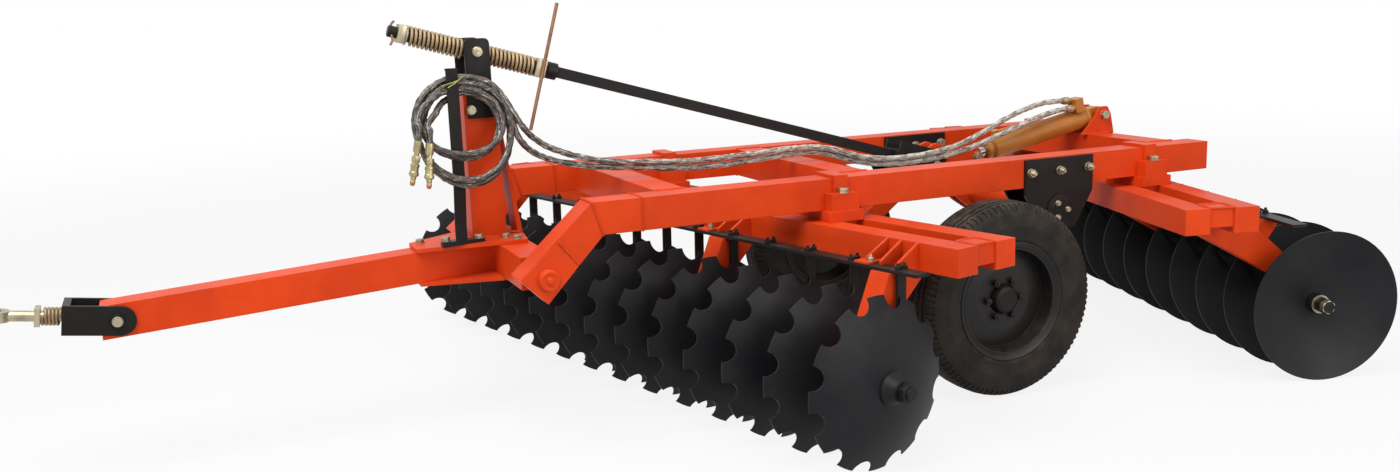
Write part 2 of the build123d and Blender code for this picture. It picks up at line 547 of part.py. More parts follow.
# ---------------------------------------------------------------- hose carrier
foot = box(92, 140, -1950, -1790, deck - 30, deck + 8) - slab(under, 80, 160)
bent = [(130, deck + 8), (138, deck + 8), (138, 800), (169, 960), (169, 1385), (150, 1385), (150, 1377),
        (161, 1377), (161, 962), (130, 802)]
bent = make_face(Polyline(*[(x, -1900, z) for x, z in bent], close=True))
upright = extrude(bent, amount=44, dir=(0, 1, 0))
ledge = box(112, 161, -1890, -1866, 1266, 1274)
save("hose_carrier", foot + upright + ledge)

# ---------------------------------------------------------------- hoses, their coil and couplers
lean = math.radians(COIL["lean"])
across = (math.cos(lean), 0, math.sin(lean))
hang = Plane(origin=COIL["at"], x_dir=(0, 1, 0), z_dir=across)
hank = extrude(Ellipse(*COIL["outer"]), amount=COIL["thick"] / 2, both=True)
hank -= Pos(*COIL["hole_at"], 0) * extrude(Ellipse(*COIL["hole"]), amount=COIL["thick"], both=True)
hank = hang * hank - box(108, 172, -1903, -1853, deck, 1285)
save("hose_coil", hank)
for name, points in HOSES.items():
    corners = zip(points, points[1:], points[2:])
    radii = []
    for p, q, r in corners:
        u, v = Vector(*q) - Vector(*p), Vector(*r) - Vector(*q)
        radii.append(0.45 * min(u.length, v.length) / math.tan(math.radians(u.get_angle(v)) / 2))
    path = FilletPolyline(*points, radius=radii)
    tube = sweep(along(*points[:2]) * Circle(HOSE_R), path=path)
    print(name, "radii", [round(r) for r in radii], "length", round(path.length),
          "volume ratio", round(tube.volume / (path.length * math.pi * HOSE_R ** 2), 4))
    save(name, tube - hank)
for name, (p, q) in COUPLERS.items():
    body = round_strut(p, q, 14)
    for a, b, r in ((0.3, 0.42, 17), (0.55, 0.85, 19)):
        ends = [tuple(m + (n - m) * f for m, n in zip(p, q)) for f in (a, b)]
        body += round_strut(*ends, r)
    # tail back to the coil's near face
    gap = sum((m - o) * n for m, o, n in zip(p, COIL["at"], across)) - COIL["thick"] / 2
    foot_at = tuple(m - n * gap for m, n in zip(p, across))
    save(name, body + round_strut(foot_at, p, HOSE_R) + Pos(*p) * Sphere(14))
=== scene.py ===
# %% [markdown]
# # A trailed disc harrow
# The machine is already built as CAD solids, packed as one model. This lesson dresses it:
# a camera, light, paint, rubber and steel, and the fine pieces that a lathe or a wire bender
# would make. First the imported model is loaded. Its pieces stay where they are.

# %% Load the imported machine
import bmesh
import bpy
import json
from math import atan2, cos, hypot, pi, radians, sin, tan, tau
from mathutils import Matrix, Vector


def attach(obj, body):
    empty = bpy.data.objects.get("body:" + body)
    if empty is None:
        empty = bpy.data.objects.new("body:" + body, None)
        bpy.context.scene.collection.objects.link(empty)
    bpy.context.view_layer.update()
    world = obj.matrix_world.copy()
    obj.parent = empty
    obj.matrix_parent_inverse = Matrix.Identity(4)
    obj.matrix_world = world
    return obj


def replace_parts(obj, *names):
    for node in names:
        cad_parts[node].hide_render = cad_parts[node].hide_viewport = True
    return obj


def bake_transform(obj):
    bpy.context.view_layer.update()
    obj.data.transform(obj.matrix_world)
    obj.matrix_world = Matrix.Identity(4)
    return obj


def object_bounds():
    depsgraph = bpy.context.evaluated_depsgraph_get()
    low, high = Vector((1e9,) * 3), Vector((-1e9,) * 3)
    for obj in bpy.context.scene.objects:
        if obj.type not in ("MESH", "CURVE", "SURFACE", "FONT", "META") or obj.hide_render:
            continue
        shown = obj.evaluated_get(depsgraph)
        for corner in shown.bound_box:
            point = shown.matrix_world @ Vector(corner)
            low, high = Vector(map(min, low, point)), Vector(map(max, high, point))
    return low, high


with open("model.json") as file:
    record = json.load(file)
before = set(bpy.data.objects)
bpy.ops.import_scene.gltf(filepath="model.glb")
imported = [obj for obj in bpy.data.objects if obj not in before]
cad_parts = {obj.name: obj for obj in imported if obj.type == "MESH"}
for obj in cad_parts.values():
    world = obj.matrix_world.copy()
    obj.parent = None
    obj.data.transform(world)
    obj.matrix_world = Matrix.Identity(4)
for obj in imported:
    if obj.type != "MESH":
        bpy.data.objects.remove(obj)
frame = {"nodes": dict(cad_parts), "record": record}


def named(name):
    """The object that was just made, with its name."""
    bpy.context.object.name = name
    return bpy.context.object


cad_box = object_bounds()
size = cad_box[1] - cad_box[0]
print("machine: %.2f m wide, %.2f m long, %.2f m high" % tuple(size))

# %% [markdown]
# ## The camera
# The machine is seen from its front left corner, from just above head height. A camera can be
# turned by angles, but it is surer to name the way it looks and let vectors make the turn:
# forward, right and up. The roll is small, as with a camera held by hand.

# %% Camera
CAMERA_AT = (5.0630, -2.3353, 1.6110)
YAW, PITCH, ROLL = [radians(angle) for angle in (22.73, 11.18, -2.08)]
LENS, SHIFT_X, SHIFT_Y = 32.53, 0.0007, 0.0075


def camera_turn(yaw, pitch, roll):
    forward = Vector((-cos(yaw) * cos(pitch), sin(yaw) * cos(pitch), -sin(pitch)))
    right = Vector((sin(yaw), cos(yaw), 0.0))
    up = right.cross(forward)
    side = right * cos(roll) + up * sin(roll)
    top = up * cos(roll) - right * sin(roll)
    return Matrix((side, top, -forward)).transposed().to_4x4()


bpy.ops.object.camera_add()
camera = named("camera")
camera.matrix_world = Matrix.Translation(CAMERA_AT) @ camera_turn(YAW, PITCH, ROLL)
camera.data.lens = LENS
camera.data.shift_x = SHIFT_X
camera.data.shift_y = SHIFT_Y
bpy.context.scene.camera = camera
print("camera stands at", [round(v, 2) for v in camera.location])

# %% [markdown]
# ## Light
# Product light is soft: one large lamp above for shape and a weaker one from the side.

# %% Lamps
def area_lamp(name, place, target, width, watts):
    bpy.ops.object.light_add(type="AREA", location=place)
    lamp = named(name)
    lamp.data.shape = "DISK"
    lamp.data.size = width
    lamp.data.energy = watts
    aim = Vector(target) - Vector(place)
    lamp.rotation_euler = aim.to_track_quat("-Z", "Y").to_euler()
    print(name, watts, "W,", width, "m wide")


area_lamp("lamp_above", place=(2.5, -3.0, 6.5), target=(0, 0, 0.5), width=5.0, watts=490)
area_lamp("lamp_side", place=(7.0, 2.5, 3.0), target=(0, 0.3, 0.5), width=4.0, watts=160)

# %% [markdown]
# ## Helpers for materials
# A material is a tree of nodes. These few helpers add a node with its values, and the sums, ramps
# and noises that every finish below is made of.

# %% Node helpers
def fill(node, sockets):
    """Set the values of a node's input sockets."""
    for socket, value in sockets.items():
        node.inputs[socket].default_value = value
    return node


def add(tree, kind, sockets=None, **settings):
    """A new node with its settings and its sockets' values."""
    node = tree.nodes.new(kind)
    for key, value in settings.items():
        setattr(node, key, value)
    return fill(node, sockets or {})


def maths(tree, operation, *terms):
    """A Math node of numbers and of other nodes' outputs."""
    node = add(tree, "ShaderNodeMath", operation=operation)
    for socket, term in zip(node.inputs, terms):
        if isinstance(term, (int, float)):
            socket.default_value = term
        else:
            tree.links.new(term, socket)
    return node.outputs[0]


def ramp(tree, source, low, high, start=0.0, stop=1.0):
    """An eased ramp from start at low to stop at high."""
    sockets = {"From Min": low, "From Max": high, "To Min": start, "To Max": stop}
    node = add(tree, "ShaderNodeMapRange", sockets, clamp=True, interpolation_type="SMOOTHSTEP")
    tree.links.new(source, node.inputs["Value"])
    return node.outputs[0]


def noise(tree, place, scale, detail, rough=0.5):
    node = add(tree, "ShaderNodeTexNoise", {"Scale": scale, "Detail": detail, "Roughness": rough})
    tree.links.new(place, node.inputs["Vector"])
    return node.outputs[0]


def new_material(name):
    """A material with its tree and its Principled shader."""
    made = bpy.data.materials.new(name)
    made.use_nodes = True
    return made, made.node_tree, made.node_tree.nodes["Principled BSDF"]

# %% [markdown]
# ## Floor and background
# The background is pure white to the camera and in reflections only, so it never pours extra light
# on the paint. The floor does the same, and keeps the machine's soft shadow.

# %% Sky and floor
FADE_FROM, FADE_TO, NEAR_SHARE = 4.0, 13.0, 0.86


def white_to_lens(tree, lit, plain, last_node, share=None):
    """Mix a lit shader with a plain white one that only the camera, glossy and clear rays see."""
    rays = add(tree, "ShaderNodeLightPath").outputs
    seen = maths(tree, "MAXIMUM", rays["Is Camera Ray"], rays["Is Glossy Ray"])
    seen = maths(tree, "MAXIMUM", seen, rays["Is Transmission Ray"])
    if share is not None:
        seen = maths(tree, "MULTIPLY", seen, share)
    mix = add(tree, "ShaderNodeMixShader")
    for socket, source in zip(mix.inputs, (seen, lit.outputs[0], plain.outputs[0])):
        tree.links.new(source, socket)
    tree.links.new(mix.outputs[0], tree.nodes[last_node].inputs[0])


world = bpy.data.worlds.new("studio")
bpy.context.scene.world = world
world.use_nodes = True
tree = world.node_tree
sky = fill(tree.nodes["Background"], {"Color": (0.95, 0.95, 0.94, 1), "Strength": 0.55})
white = add(tree, "ShaderNodeBackground", {"Color": (1, 1, 1, 1), "Strength": 1.0})
white_to_lens(tree, sky, white, "World Output")

bpy.ops.mesh.primitive_plane_add(size=60)
floor = named("floor")
floor.location.z = -0.001
paper, tree, matt = new_material("paper_floor")
fill(matt, {"Base Color": (0.62, 0.62, 0.62, 1), "Roughness": 0.9})
glow = add(tree, "ShaderNodeEmission", {"Strength": 1.0})
# near the machine the floor keeps its shadows, and further out it fades into the background
far = add(tree, "ShaderNodeVectorMath", operation="LENGTH")
tree.links.new(add(tree, "ShaderNodeTexCoord").outputs["Object"], far.inputs[0])
share = ramp(tree, far.outputs["Value"], FADE_FROM, FADE_TO, NEAR_SHARE, 1.0)
white_to_lens(tree, matt, glow, "Material Output", share)
floor.data.materials.append(paper)
bpy.context.scene.view_settings.view_transform = "Standard"
print("floor and sky are white to the lens")

# %% [markdown]
# ## Helpers for modelling by hand
# Every Blender operator acts on what is selected, so each step first clears the selection and then
# picks faces or edges by where they are. A finished piece keeps its place in its mesh, with its
# object at the origin. Shapes are given in millimetres, and places in the machine's own measures.

# %% Selecting and editing
MM = 0.001
MIDDLE = Vector((0.25204, 0.53270, 0.0))


def spot(x, y, z):
    """A place given in millimetres in the machine's own measures."""
    return Vector((x, y, z)) * MM + MIDDLE


def deselect():
    bpy.ops.object.select_all(action="DESELECT")


def apply_place():
    bpy.ops.object.transform_apply(location=True, rotation=True, scale=True)


def only(piece):
    if bpy.context.object and bpy.context.object.mode != "OBJECT":
        bpy.ops.object.mode_set(mode="OBJECT")
    deselect()
    piece.select_set(True)
    bpy.context.view_layer.objects.active = piece


def edit(piece):
    """Open a piece in edit mode with all of it selected."""
    only(piece)
    bpy.ops.object.mode_set(mode="EDIT")
    bpy.ops.mesh.select_mode(type="VERT")
    bpy.ops.mesh.select_all(action="SELECT")


def pick(kind, test):
    """In edit mode, select the vertices, edges or faces that pass a test, and say how many."""
    bpy.ops.mesh.select_mode(type=kind)
    bpy.ops.mesh.select_all(action="DESELECT")
    shape = bmesh.from_edit_mesh(bpy.context.object.data)
    parts = {"VERT": shape.verts, "EDGE": shape.edges, "FACE": shape.faces}[kind]
    chosen = [part for part in parts if test(part)]
    for part in chosen:
        part.select_set(True)
    bmesh.update_edit_mesh(bpy.context.object.data)
    return len(chosen)


def bevel(offset, segments=2):
    bpy.ops.mesh.bevel(offset=offset * MM, segments=segments, profile=0.5, affect="EDGES")


def folded(edge, angle):
    """Whether two faces meet at an edge by more than an angle in radians."""
    return len(edge.link_faces) == 2 and edge.calc_face_angle() > angle


def done(piece, smooth=35):
    """Leave edit mode, apply the place and shade curved faces smooth."""
    only(piece)
    apply_place()
    bpy.ops.object.shade_smooth_by_angle(angle=radians(smooth))
    return piece


def trace(points, name):
    """A thin outline in the x-z plane, drawn by extruding one vertex from point to point."""
    deselect()
    bpy.ops.mesh.primitive_plane_add(size=0.001, location=(0, 0, 0))
    line = named(name)
    edit(line)
    bpy.ops.mesh.merge(type="CENTER")
    corners = [Vector((x, 0, z)) * MM for x, z in points]
    bpy.ops.transform.translate(value=corners[0])
    for here, there in zip(corners, corners[1:]):
        bpy.ops.mesh.extrude_region_move(TRANSFORM_OT_translate={"value": there - here})
    bpy.ops.object.mode_set(mode="OBJECT")
    return line


def modify(piece, kind, **values):
    """Add a modifier with these values and apply it."""
    only(piece)
    modifier = piece.modifiers.new(kind.lower(), kind)
    for key, value in values.items():
        setattr(modifier, key, value)
    bpy.ops.object.modifier_apply(modifier=modifier.name)


def tidy(piece, gap=0.05):
    """Merge doubled points and turn every face outwards."""
    edit(piece)
    bpy.ops.mesh.remove_doubles(threshold=gap * MM)
    bpy.ops.mesh.normals_make_consistent(inside=False)
    bpy.ops.object.mode_set(mode="OBJECT")


# %% Placing, copying and joining
def frame_at(place, direction, spin=0.0):
    """The move that stands a piece built along +Z at a place, pointing in a direction."""
    turn = Vector(direction).normalized().to_track_quat("Z", "Y").to_matrix().to_4x4()
    return Matrix.Translation(place) @ turn @ Matrix.Rotation(spin, 4, "Z")


def both_sides(x, y, z, spin=0.0):
    """The moves to a place and to its mirror place, both pointing outwards."""
    return [frame_at(spot(side * x, y, z), (side, 0, 0), spin) for side in (1, -1)]


def turned(degrees, axis="Z"):
    return Matrix.Rotation(radians(degrees), 4, axis)


def moved(x, y, z):
    return Matrix.Translation(Vector((x, y, z)) * MM)


def join(name, pieces):
    deselect()
    for piece in pieces:
        piece.select_set(True)
    bpy.context.view_layer.objects.active = pieces[0]
    if len(pieces) > 1:
        bpy.ops.object.join()
    pieces[0].name = name
    return pieces[0]


def copies(pattern, name, places):
    """Copies of one pattern, each with its own mesh, joined as one piece."""
    made = []
    for move in places:
        twin = pattern.copy()
        twin.data = pattern.data.copy()
        bpy.context.scene.collection.objects.link(twin)
        twin.data.transform(move)
        made.append(twin)
    print(name, len(places), "copies,", len(places) * len(pattern.data.polygons), "faces")
    return join(name, made)


def forget(*patterns):
    for pattern in patterns:
        bpy.data.objects.remove(pattern, do_unlink=True)


# %% [markdown]
# ## Weathering, shared by every finish
# Real paint is never one colour. Dust settles on what faces the sky, grime mottles the rest and
# edges wear. One node group works out these masks from the piece's own coordinates, and each
# finish mixes its own colours with them. A group gives out only masks and a normal.

# %% Weathering group
def build_weathering():
    tree = bpy.data.node_groups.new("weathering", "ShaderNodeTree")
    for name, value in (("Scale", 1.0), ("Dust", 0.4), ("Rounding", 0.003)):
        socket = tree.interface.new_socket(name, in_out="INPUT", socket_type="NodeSocketFloat")
        socket.default_value = value
    for name in ("Mottle", "Dust Mask", "Rub Mask", "Grain"):
        tree.interface.new_socket(name, in_out="OUTPUT", socket_type="NodeSocketFloat")
    tree.interface.new_socket("Soft Normal", in_out="OUTPUT", socket_type="NodeSocketVector")
    link = tree.links.new
    enter, leave = add(tree, "NodeGroupInput"), add(tree, "NodeGroupOutput")
    spread = add(tree, "ShaderNodeVectorMath", operation="SCALE")
    link(add(tree, "ShaderNodeTexCoord").outputs["Object"], spread.inputs[0])
    link(enter.outputs["Scale"], spread.inputs["Scale"])
    place = spread.outputs[0]
    link(ramp(tree, noise(tree, place, 4.5, 6, 0.6), 0.35, 0.68), leave.inputs["Mottle"])
    facing = add(tree, "ShaderNodeNewGeometry").outputs["Normal"]
    up = add(tree, "ShaderNodeSeparateXYZ")
    link(facing, up.inputs[0])
    patch = ramp(tree, noise(tree, place, 11.0, 8, 0.7), 0.34, 0.72)
    settled = maths(tree, "MULTIPLY", ramp(tree, up.outputs["Z"], -0.25, 1.0), patch)
    link(maths(tree, "MULTIPLY", settled, enter.outputs["Dust"]), leave.inputs["Dust Mask"])
    # the rounded normal leaves the true one only near an edge, so their product finds the edges
    rounded = add(tree, "ShaderNodeBevel", samples=4)
    link(enter.outputs["Rounding"], rounded.inputs["Radius"])
    bend = add(tree, "ShaderNodeVectorMath", operation="DOT_PRODUCT")
    link(rounded.outputs[0], bend.inputs[0])
    link(facing, bend.inputs[1])
    edge = add(tree, "ShaderNodeMapRange", {"From Min": 0.985, "From Max": 0.80}, clamp=True)
    link(bend.outputs["Value"], edge.inputs["Value"])
    wear = ramp(tree, noise(tree, place, 38.0, 5, 0.6), 0.50, 0.70)
    link(maths(tree, "MULTIPLY", edge.outputs[0], wear), leave.inputs["Rub Mask"])
    link(noise(tree, place, 260.0, 3, 0.6), leave.inputs["Grain"])
    link(rounded.outputs[0], leave.inputs["Soft Normal"])
    return tree


weathering = build_weathering()
print("weathering gives", [s.name for s in weathering.interface.items_tree if s.in_out == "OUTPUT"])

# %% [markdown]
# ## The finishes
# A finish is a base colour, a second colour for the mottle, the dust that lies on it and what shows
# where its edges are rubbed. The same few links serve them all, so one function builds a finish from
# its values, and one call makes each finish of this machine.

# %% Finish builder
DUST = (0.42, 0.34, 0.25)
DUST_DULLS = 0.35
finishes = {}


def finish(name, base, second, rough, metal=0.0, dust=0.35, rub=None, rub_share=0.8, coat=0.0,
           scale=1.0, bump=0.12, rounding=0.003, shine=0.5):
    finishes[name], tree, shader = new_material(name)
    link = tree.links.new
    worn = add(tree, "ShaderNodeGroup", node_tree=weathering)
    masks = fill(worn, {"Scale": scale, "Dust": dust, "Rounding": rounding}).outputs

    def blend_colour(factor, a, b, share=1.0):
        node = add(tree, "ShaderNodeMix", data_type="RGBA")
        link(maths(tree, "MULTIPLY", factor, share), node.inputs["Factor"])
        for socket, value in ((node.inputs[6], a), (node.inputs[7], b)):
            if isinstance(value, tuple):
                socket.default_value = (*value, 1)
            else:
                link(value, socket)
        return node.outputs[2]

    colour = blend_colour(masks["Mottle"], base, second)
    if rub:
        colour = blend_colour(masks["Rub Mask"], colour, rub, rub_share)
    colour = blend_colour(masks["Dust Mask"], colour, DUST)
    link(colour, shader.inputs["Base Color"])
    dusty = {"To Min": rough, "To Max": min(1.0, rough + DUST_DULLS)}
    dull = add(tree, "ShaderNodeMapRange", dusty, clamp=True)
    link(masks["Dust Mask"], dull.inputs["Value"])
    link(dull.outputs[0], shader.inputs["Roughness"])
    fill(shader, {"Metallic": metal, "Specular IOR Level": shine, "Coat Weight": coat,
                  "Coat Roughness": 0.12})
    relief = add(tree, "ShaderNodeBump", {"Strength": bump, "Distance": 0.001})
    link(masks["Grain"], relief.inputs["Height"])
    link(masks["Soft Normal"], relief.inputs["Normal"])
    link(relief.outputs[0], shader.inputs["Normal"])


def coat(piece, finish_name):
    """One finish all over. Parts that are coated before they are joined keep their own finishes."""
    piece.data.materials.clear()
    piece.data.materials.append(finishes[finish_name])
    for face in piece.data.polygons:
        face.material_index = 0
    return piece


def dress(piece, slot_name, finish_name=None):
    """Coat a piece with the finish named after its slot, or with the finish given."""
    coat(piece, finish_name or slot_name)
    return piece


def fit(piece, body, slot_name, finish_name=None):
    """Dress a piece and say which body carries it."""
    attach(dress(piece, slot_name, finish_name), body)
    return piece


# %% Finishes of this machine
finish("orange_paint", (0.66, 0.053, 0.006), (0.55, 0.041, 0.005), 0.42, dust=0.08,
       rub=(0.80, 0.18, 0.06), rub_share=0.6, coat=0.02, scale=0.7, rounding=0.004, shine=0.10)
finish("black_paint", (0.0075, 0.0065, 0.006), (0.013, 0.010, 0.009), 0.42, dust=0.05,
       rub=(0.06, 0.05, 0.045), rub_share=0.5, shine=0.16)
finish("disc_steel", (0.0065, 0.0068, 0.0085), (0.012, 0.012, 0.014), 0.46, dust=0.035,
       rub=(0.07, 0.065, 0.06), rub_share=0.6, scale=0.8, bump=0.2, rounding=0.0015, shine=0.17)
finish("cast_black", (0.008, 0.007, 0.0065), (0.017, 0.013, 0.010), 0.62, dust=0.12, bump=0.5,
       shine=0.15)
finish("zinc", (0.46, 0.41, 0.28), (0.30, 0.26, 0.18), 0.36, metal=0.85, dust=0.3,
       rub=(0.75, 0.74, 0.70), scale=4.0, rounding=0.0012)
finish("zinc_yellow", (0.47, 0.41, 0.21), (0.32, 0.28, 0.15), 0.30, metal=0.85, dust=0.4,
       rub=(0.75, 0.72, 0.62), scale=6.0, rounding=0.001)
finish("plug_tip", (0.50, 0.075, 0.045), (0.34, 0.060, 0.035), 0.5, dust=0.3, scale=6.0,
       rounding=0.0008)
finish("green_wire", (0.30, 0.36, 0.06), (0.20, 0.24, 0.05), 0.5, dust=0.2, scale=8.0)
finish("spring_steel", (0.42, 0.31, 0.17), (0.24, 0.15, 0.08), 0.45, metal=0.4, dust=0.25, scale=3.0,
       bump=0.3, rounding=0.0)
finish("bare_steel", (0.30, 0.16, 0.085), (0.17, 0.085, 0.045), 0.6, metal=0.35, dust=0.15,
       scale=3.0, bump=0.4, rounding=0.001, shine=0.3)
finish("cylinder_paint", (0.46, 0.17, 0.022), (0.38, 0.13, 0.018), 0.38, dust=0.15,
       rub=(0.65, 0.40, 0.12), coat=0.1, rounding=0.002, shine=0.3)
finish("rod_chrome", (0.55, 0.55, 0.56), (0.42, 0.42, 0.43), 0.12, metal=1.0, dust=0.15, bump=0.02,
       rounding=0.001)
finish("tyre_rubber", (0.010, 0.0085, 0.0075), (0.024, 0.019, 0.015), 0.78, dust=0.12, scale=2.2,
       bump=0.5, rounding=0.001, shine=0.2)
finish("rim_black", (0.006, 0.0055, 0.005), (0.012, 0.010, 0.009), 0.40, dust=0.06,
       rub=(0.07, 0.06, 0.05), shine=0.25)
slot_of = {part["node"]: part["material_slot"] for part in frame["record"]["subparts"]}
for node, piece in frame["nodes"].items():
    if slot_of[node] in finishes:
        coat(piece, slot_of[node])
print(len(finishes), "finishes on", len(frame["nodes"]), "nodes")

# %% [markdown]
# ## The hydraulic hoses
# Two hoses leave the ports of the lift cylinder, run forward on top of the cross tubes and are wound
# up at the hitch, where they hang on a hook until a tractor is coupled. Each is one NURBS curve of
# control points: its run, its turns and its end in the coupler. The turns differ in size because
# nothing ties them. The curve is traced as a plain line first, and the tube follows that line.

# %% Where the runs pass
HOSE_R = 0.011
RUNS = {
    "hose_a": [
        (42, 1004, 1034), (45, 930, 1032), (58, 815, 1003), (74, 690, 970), (90, 565, 938), (101, 450, 908),
        (108, 330, 884), (110, 195, 870), (105, 45, 865), (100, -110, 880), (100, -225, 917),
        (100, -320, 946), (101, -452, 951), (101, -570, 943), (100, -697, 932), (100, -860, 927),
        (100, -1000, 935), (100, -1100, 948), (100, -1225, 958), (100, -1345, 972), (101, -1466, 998),
        (111, -1550, 1030), (135, -1610, 1072), (165, -1653, 1130)],
    "hose_b": [
        (14, 1004, 1071), (15, 930, 1074), (26, 840, 1061), (46, 735, 1040), (70, 615, 1005), (94, 480, 955),
        (110, 340, 915), (115, 195, 896), (116, 45, 890), (116, -110, 904), (116, -225, 941),
        (116, -320, 970), (115, -452, 976), (113, -570, 970), (112, -700, 964), (110, -860, 957),
        (110, -1000, 962), (110, -1100, 971), (110, -1225, 980), (110, -1345, 1000), (110, -1450, 1034),
        (118, -1540, 1075), (140, -1602, 1128), (172, -1648, 1190)],
}

# %% The turns of the coil
# The coil leans against the mast. A turn is given by its radii at rear, top, front and bottom, its
# hanging end by angle, radius and how far out it lies, and its coupler by two places.
LEAN = radians(14.6)
OUT = Vector((cos(LEAN), 0, sin(LEAN)))
RISE = Vector((-sin(LEAN), 0, cos(LEAN)))
COIL_MIDDLE = Vector((170.8, -1840, 1152)) + RISE * 29
SPREAD = 1.02
STEPS = 16
TURNS = {
    "hose_a": dict(
        column=-11, first=1, radii=[190, 165, 177, 229, 166, 142, 152, 126, 130, 120],
        ends=[(120, 110, -8), (140, 112, 10), (158, 114, 30), (172, 130, 44), (184, 150, 52)],
        coupler=((236, -1990, 1125), (262, -2010, 965))),
    "hose_b": dict(
        column=11, first=2, radii=[192, 172, 187, 212, 168, 150, 163, 112, 140, 128],
        ends=[(112, 130, 20), (130, 142, 34), (148, 157, 38), (164, 171, 40), (178, 183, 46)],
        coupler=((228, -2028, 1137), (236, -2062, 991))),
}


def on_coil(degrees, radius, column):
    angle = radians(degrees)
    across = Vector((0, cos(angle), 0)) + RISE * sin(angle)
    return COIL_MIDDLE + across * (radius * SPREAD) + OUT * column


def coil_points(turns):
    points = []
    radii = turns["radii"]
    quarter_steps = STEPS // 4
    for step in range(turns["first"], (len(radii) - 1) * quarter_steps + 1):
        quarter, part = divmod(step, quarter_steps)
        share = (1 - cos(pi * part / quarter_steps)) / 2
        a, b = radii[quarter], radii[min(quarter + 1, len(radii) - 1)]
        points.append(on_coil(step * 360 / STEPS, a + (b - a) * share, turns["column"]))
    return points + [on_coil(*end) for end in turns["ends"]]


# %% Curve, line and tube of a hose
def hose_curve(name, points):
    data = bpy.data.curves.new(name, "CURVE")
    data.dimensions = "3D"
    spline = data.splines.new("NURBS")
    spline.points.add(len(points) - 1)
    for point, place in zip(spline.points, points):
        point.co = (*place, 1)
    spline.order_u = 3
    spline.use_endpoint_u = True
    spline.resolution_u = 12
    curve = bpy.data.objects.new(name, data)
    bpy.context.scene.collection.objects.link(curve)
    bpy.context.view_layer.update()
    return curve


def as_mesh(curve):
    return bpy.data.meshes.new_from_object(curve.evaluated_get(bpy.context.evaluated_depsgraph_get()))


def hose(name, points, radius, sides=10):
    """A tube through places in millimetres, with its centre line and its length.

    Each point of the tube knows how far along and how far round it is. The radius is in metres.
    """
    curve = hose_curve(name + "_line", [spot(*p) for p in points])
    line = [v.co.copy() for v in as_mesh(curve).vertices]
    curve.data.bevel_depth = radius
    curve.data.bevel_resolution = sides // 2 - 2
    curve.data.use_fill_caps = True
    tube = bpy.data.objects.new(name, as_mesh(curve))
    bpy.context.scene.collection.objects.link(tube)
    forget(curve)
    far = [0.0]
    for p, q in zip(line, line[1:]):
        far.append(far[-1] + (q - p).length)
    # the curve gives the two end caps first, then ring after ring
    rings = [(0, i) for i in range(2 * sides)]
    rings += [divmod(i, sides) for i in range(sides * len(line))]
    for label, values in (("along", [far[ring] for ring, _ in rings]),
                          ("around", [side / sides for _, side in rings])):
        tube.data.attributes.new(label, "FLOAT", "POINT").data.foreach_set("value", values)
    tidy(tube, 0.1)
    print(name, "is %.3f m long, with %d sides" % (far[-1], sides))
    return tube, line, far[-1]


# %% [markdown]
# ## The film that the hoses are wrapped in
# The maker winds thin stretch film round new hoses. It is a smoky grey, wrinkled along its laps, dusty
# where hands have been and streaked with painted highlights. Its laps follow the hose, so the finish reads
# how far along and round each point is, and the wrinkles are bumps across that spiral.

# %% Film finish
LAPS_PER_METRE = 14.0
# The lightest tint is a painted highlight: the glint of the crinkled film, put into its colour
FILM_TINTS_AND_HIGHLIGHT = ((0.37, (0.012, 0.010, 0.009)), (0.46, (0.055, 0.046, 0.038)), (0.54, (0.21, 0.175, 0.142)),
              (0.64, (0.64, 0.58, 0.50)))


def film_finish():
    made, tree, shader = new_material("hose_film")
    link = tree.links.new
    along, around = [add(tree, "ShaderNodeAttribute", attribute_name=name).outputs["Fac"]
                     for name in ("along", "around")]
    # streaks of dark film and painted highlight run along the hose: a point's place on a long, thin drum
    turn = maths(tree, "MULTIPLY", around, tau)
    drum_place = add(tree, "ShaderNodeCombineXYZ")
    link(maths(tree, "MULTIPLY", along, 9.0), drum_place.inputs[0])
    link(maths(tree, "COSINE", turn), drum_place.inputs[1])
    link(maths(tree, "SINE", turn), drum_place.inputs[2])
    streak = noise(tree, drum_place.outputs[0], 2.8, 7)
    crinkle = noise(tree, add(tree, "ShaderNodeTexCoord").outputs["Object"], 95.0, 4)
    lap = maths(tree, "FRACT", maths(tree, "MULTIPLY_ADD", along, LAPS_PER_METRE, around))
    seam = ramp(tree, lap, 0.0, 0.2, 1.0, 0.0)
    # cleaner by the cylinder, dirtier in the coil
    clean = ramp(tree, along, 1.2, 3.4, 0.08, -0.06)
    # the streaks pick the tints, so where they run light the film carries painted highlights
    grime_and_highlight = maths(tree, "MULTIPLY_ADD", streak, 0.8, maths(tree, "MULTIPLY", crinkle, 0.2))
    total = maths(tree, "ADD", grime_and_highlight, maths(tree, "MULTIPLY_ADD", seam, 0.07, clean))
    tints = add(tree, "ShaderNodeValToRGB")
    elements = tints.color_ramp.elements
    for element, (place, colour) in zip(elements, (FILM_TINTS_AND_HIGHLIGHT[0], FILM_TINTS_AND_HIGHLIGHT[-1])):
        element.position, element.color = place, (*colour, 1)
    for place, colour in FILM_TINTS_AND_HIGHLIGHT[1:-1]:
        elements.new(place).color = (*colour, 1)
    link(total, tints.inputs[0])
    link(tints.outputs[0], shader.inputs["Base Color"])
    bump = add(tree, "ShaderNodeBump", {"Strength": 0.8, "Distance": 0.002})
    link(maths(tree, "ADD", maths(tree, "ADD", crinkle, streak), seam), bump.inputs["Height"])
    link(bump.outputs[0], shader.inputs["Normal"])
    fill(shader, {"Roughness": 0.36, "Specular IOR Level": 0.4, "Coat Weight": 0.25,
                  "Coat Roughness": 0.2})
    return made


finishes["hose_rubber"] = film_finish()
print("the film has", len(FILM_TINTS_AND_HIGHLIGHT), "tints")

# %% [markdown]
# ## The couplers
# A hose ends in a crimped ferrule, a hexagon to hold it by and the plug that snaps into the tractor.
# All of it is turned from bar, so one outline is spun round an axis, and the hexagons are six-sided
# drums with bevelled edges. Both couplers are alike, so they are copies of one pattern.

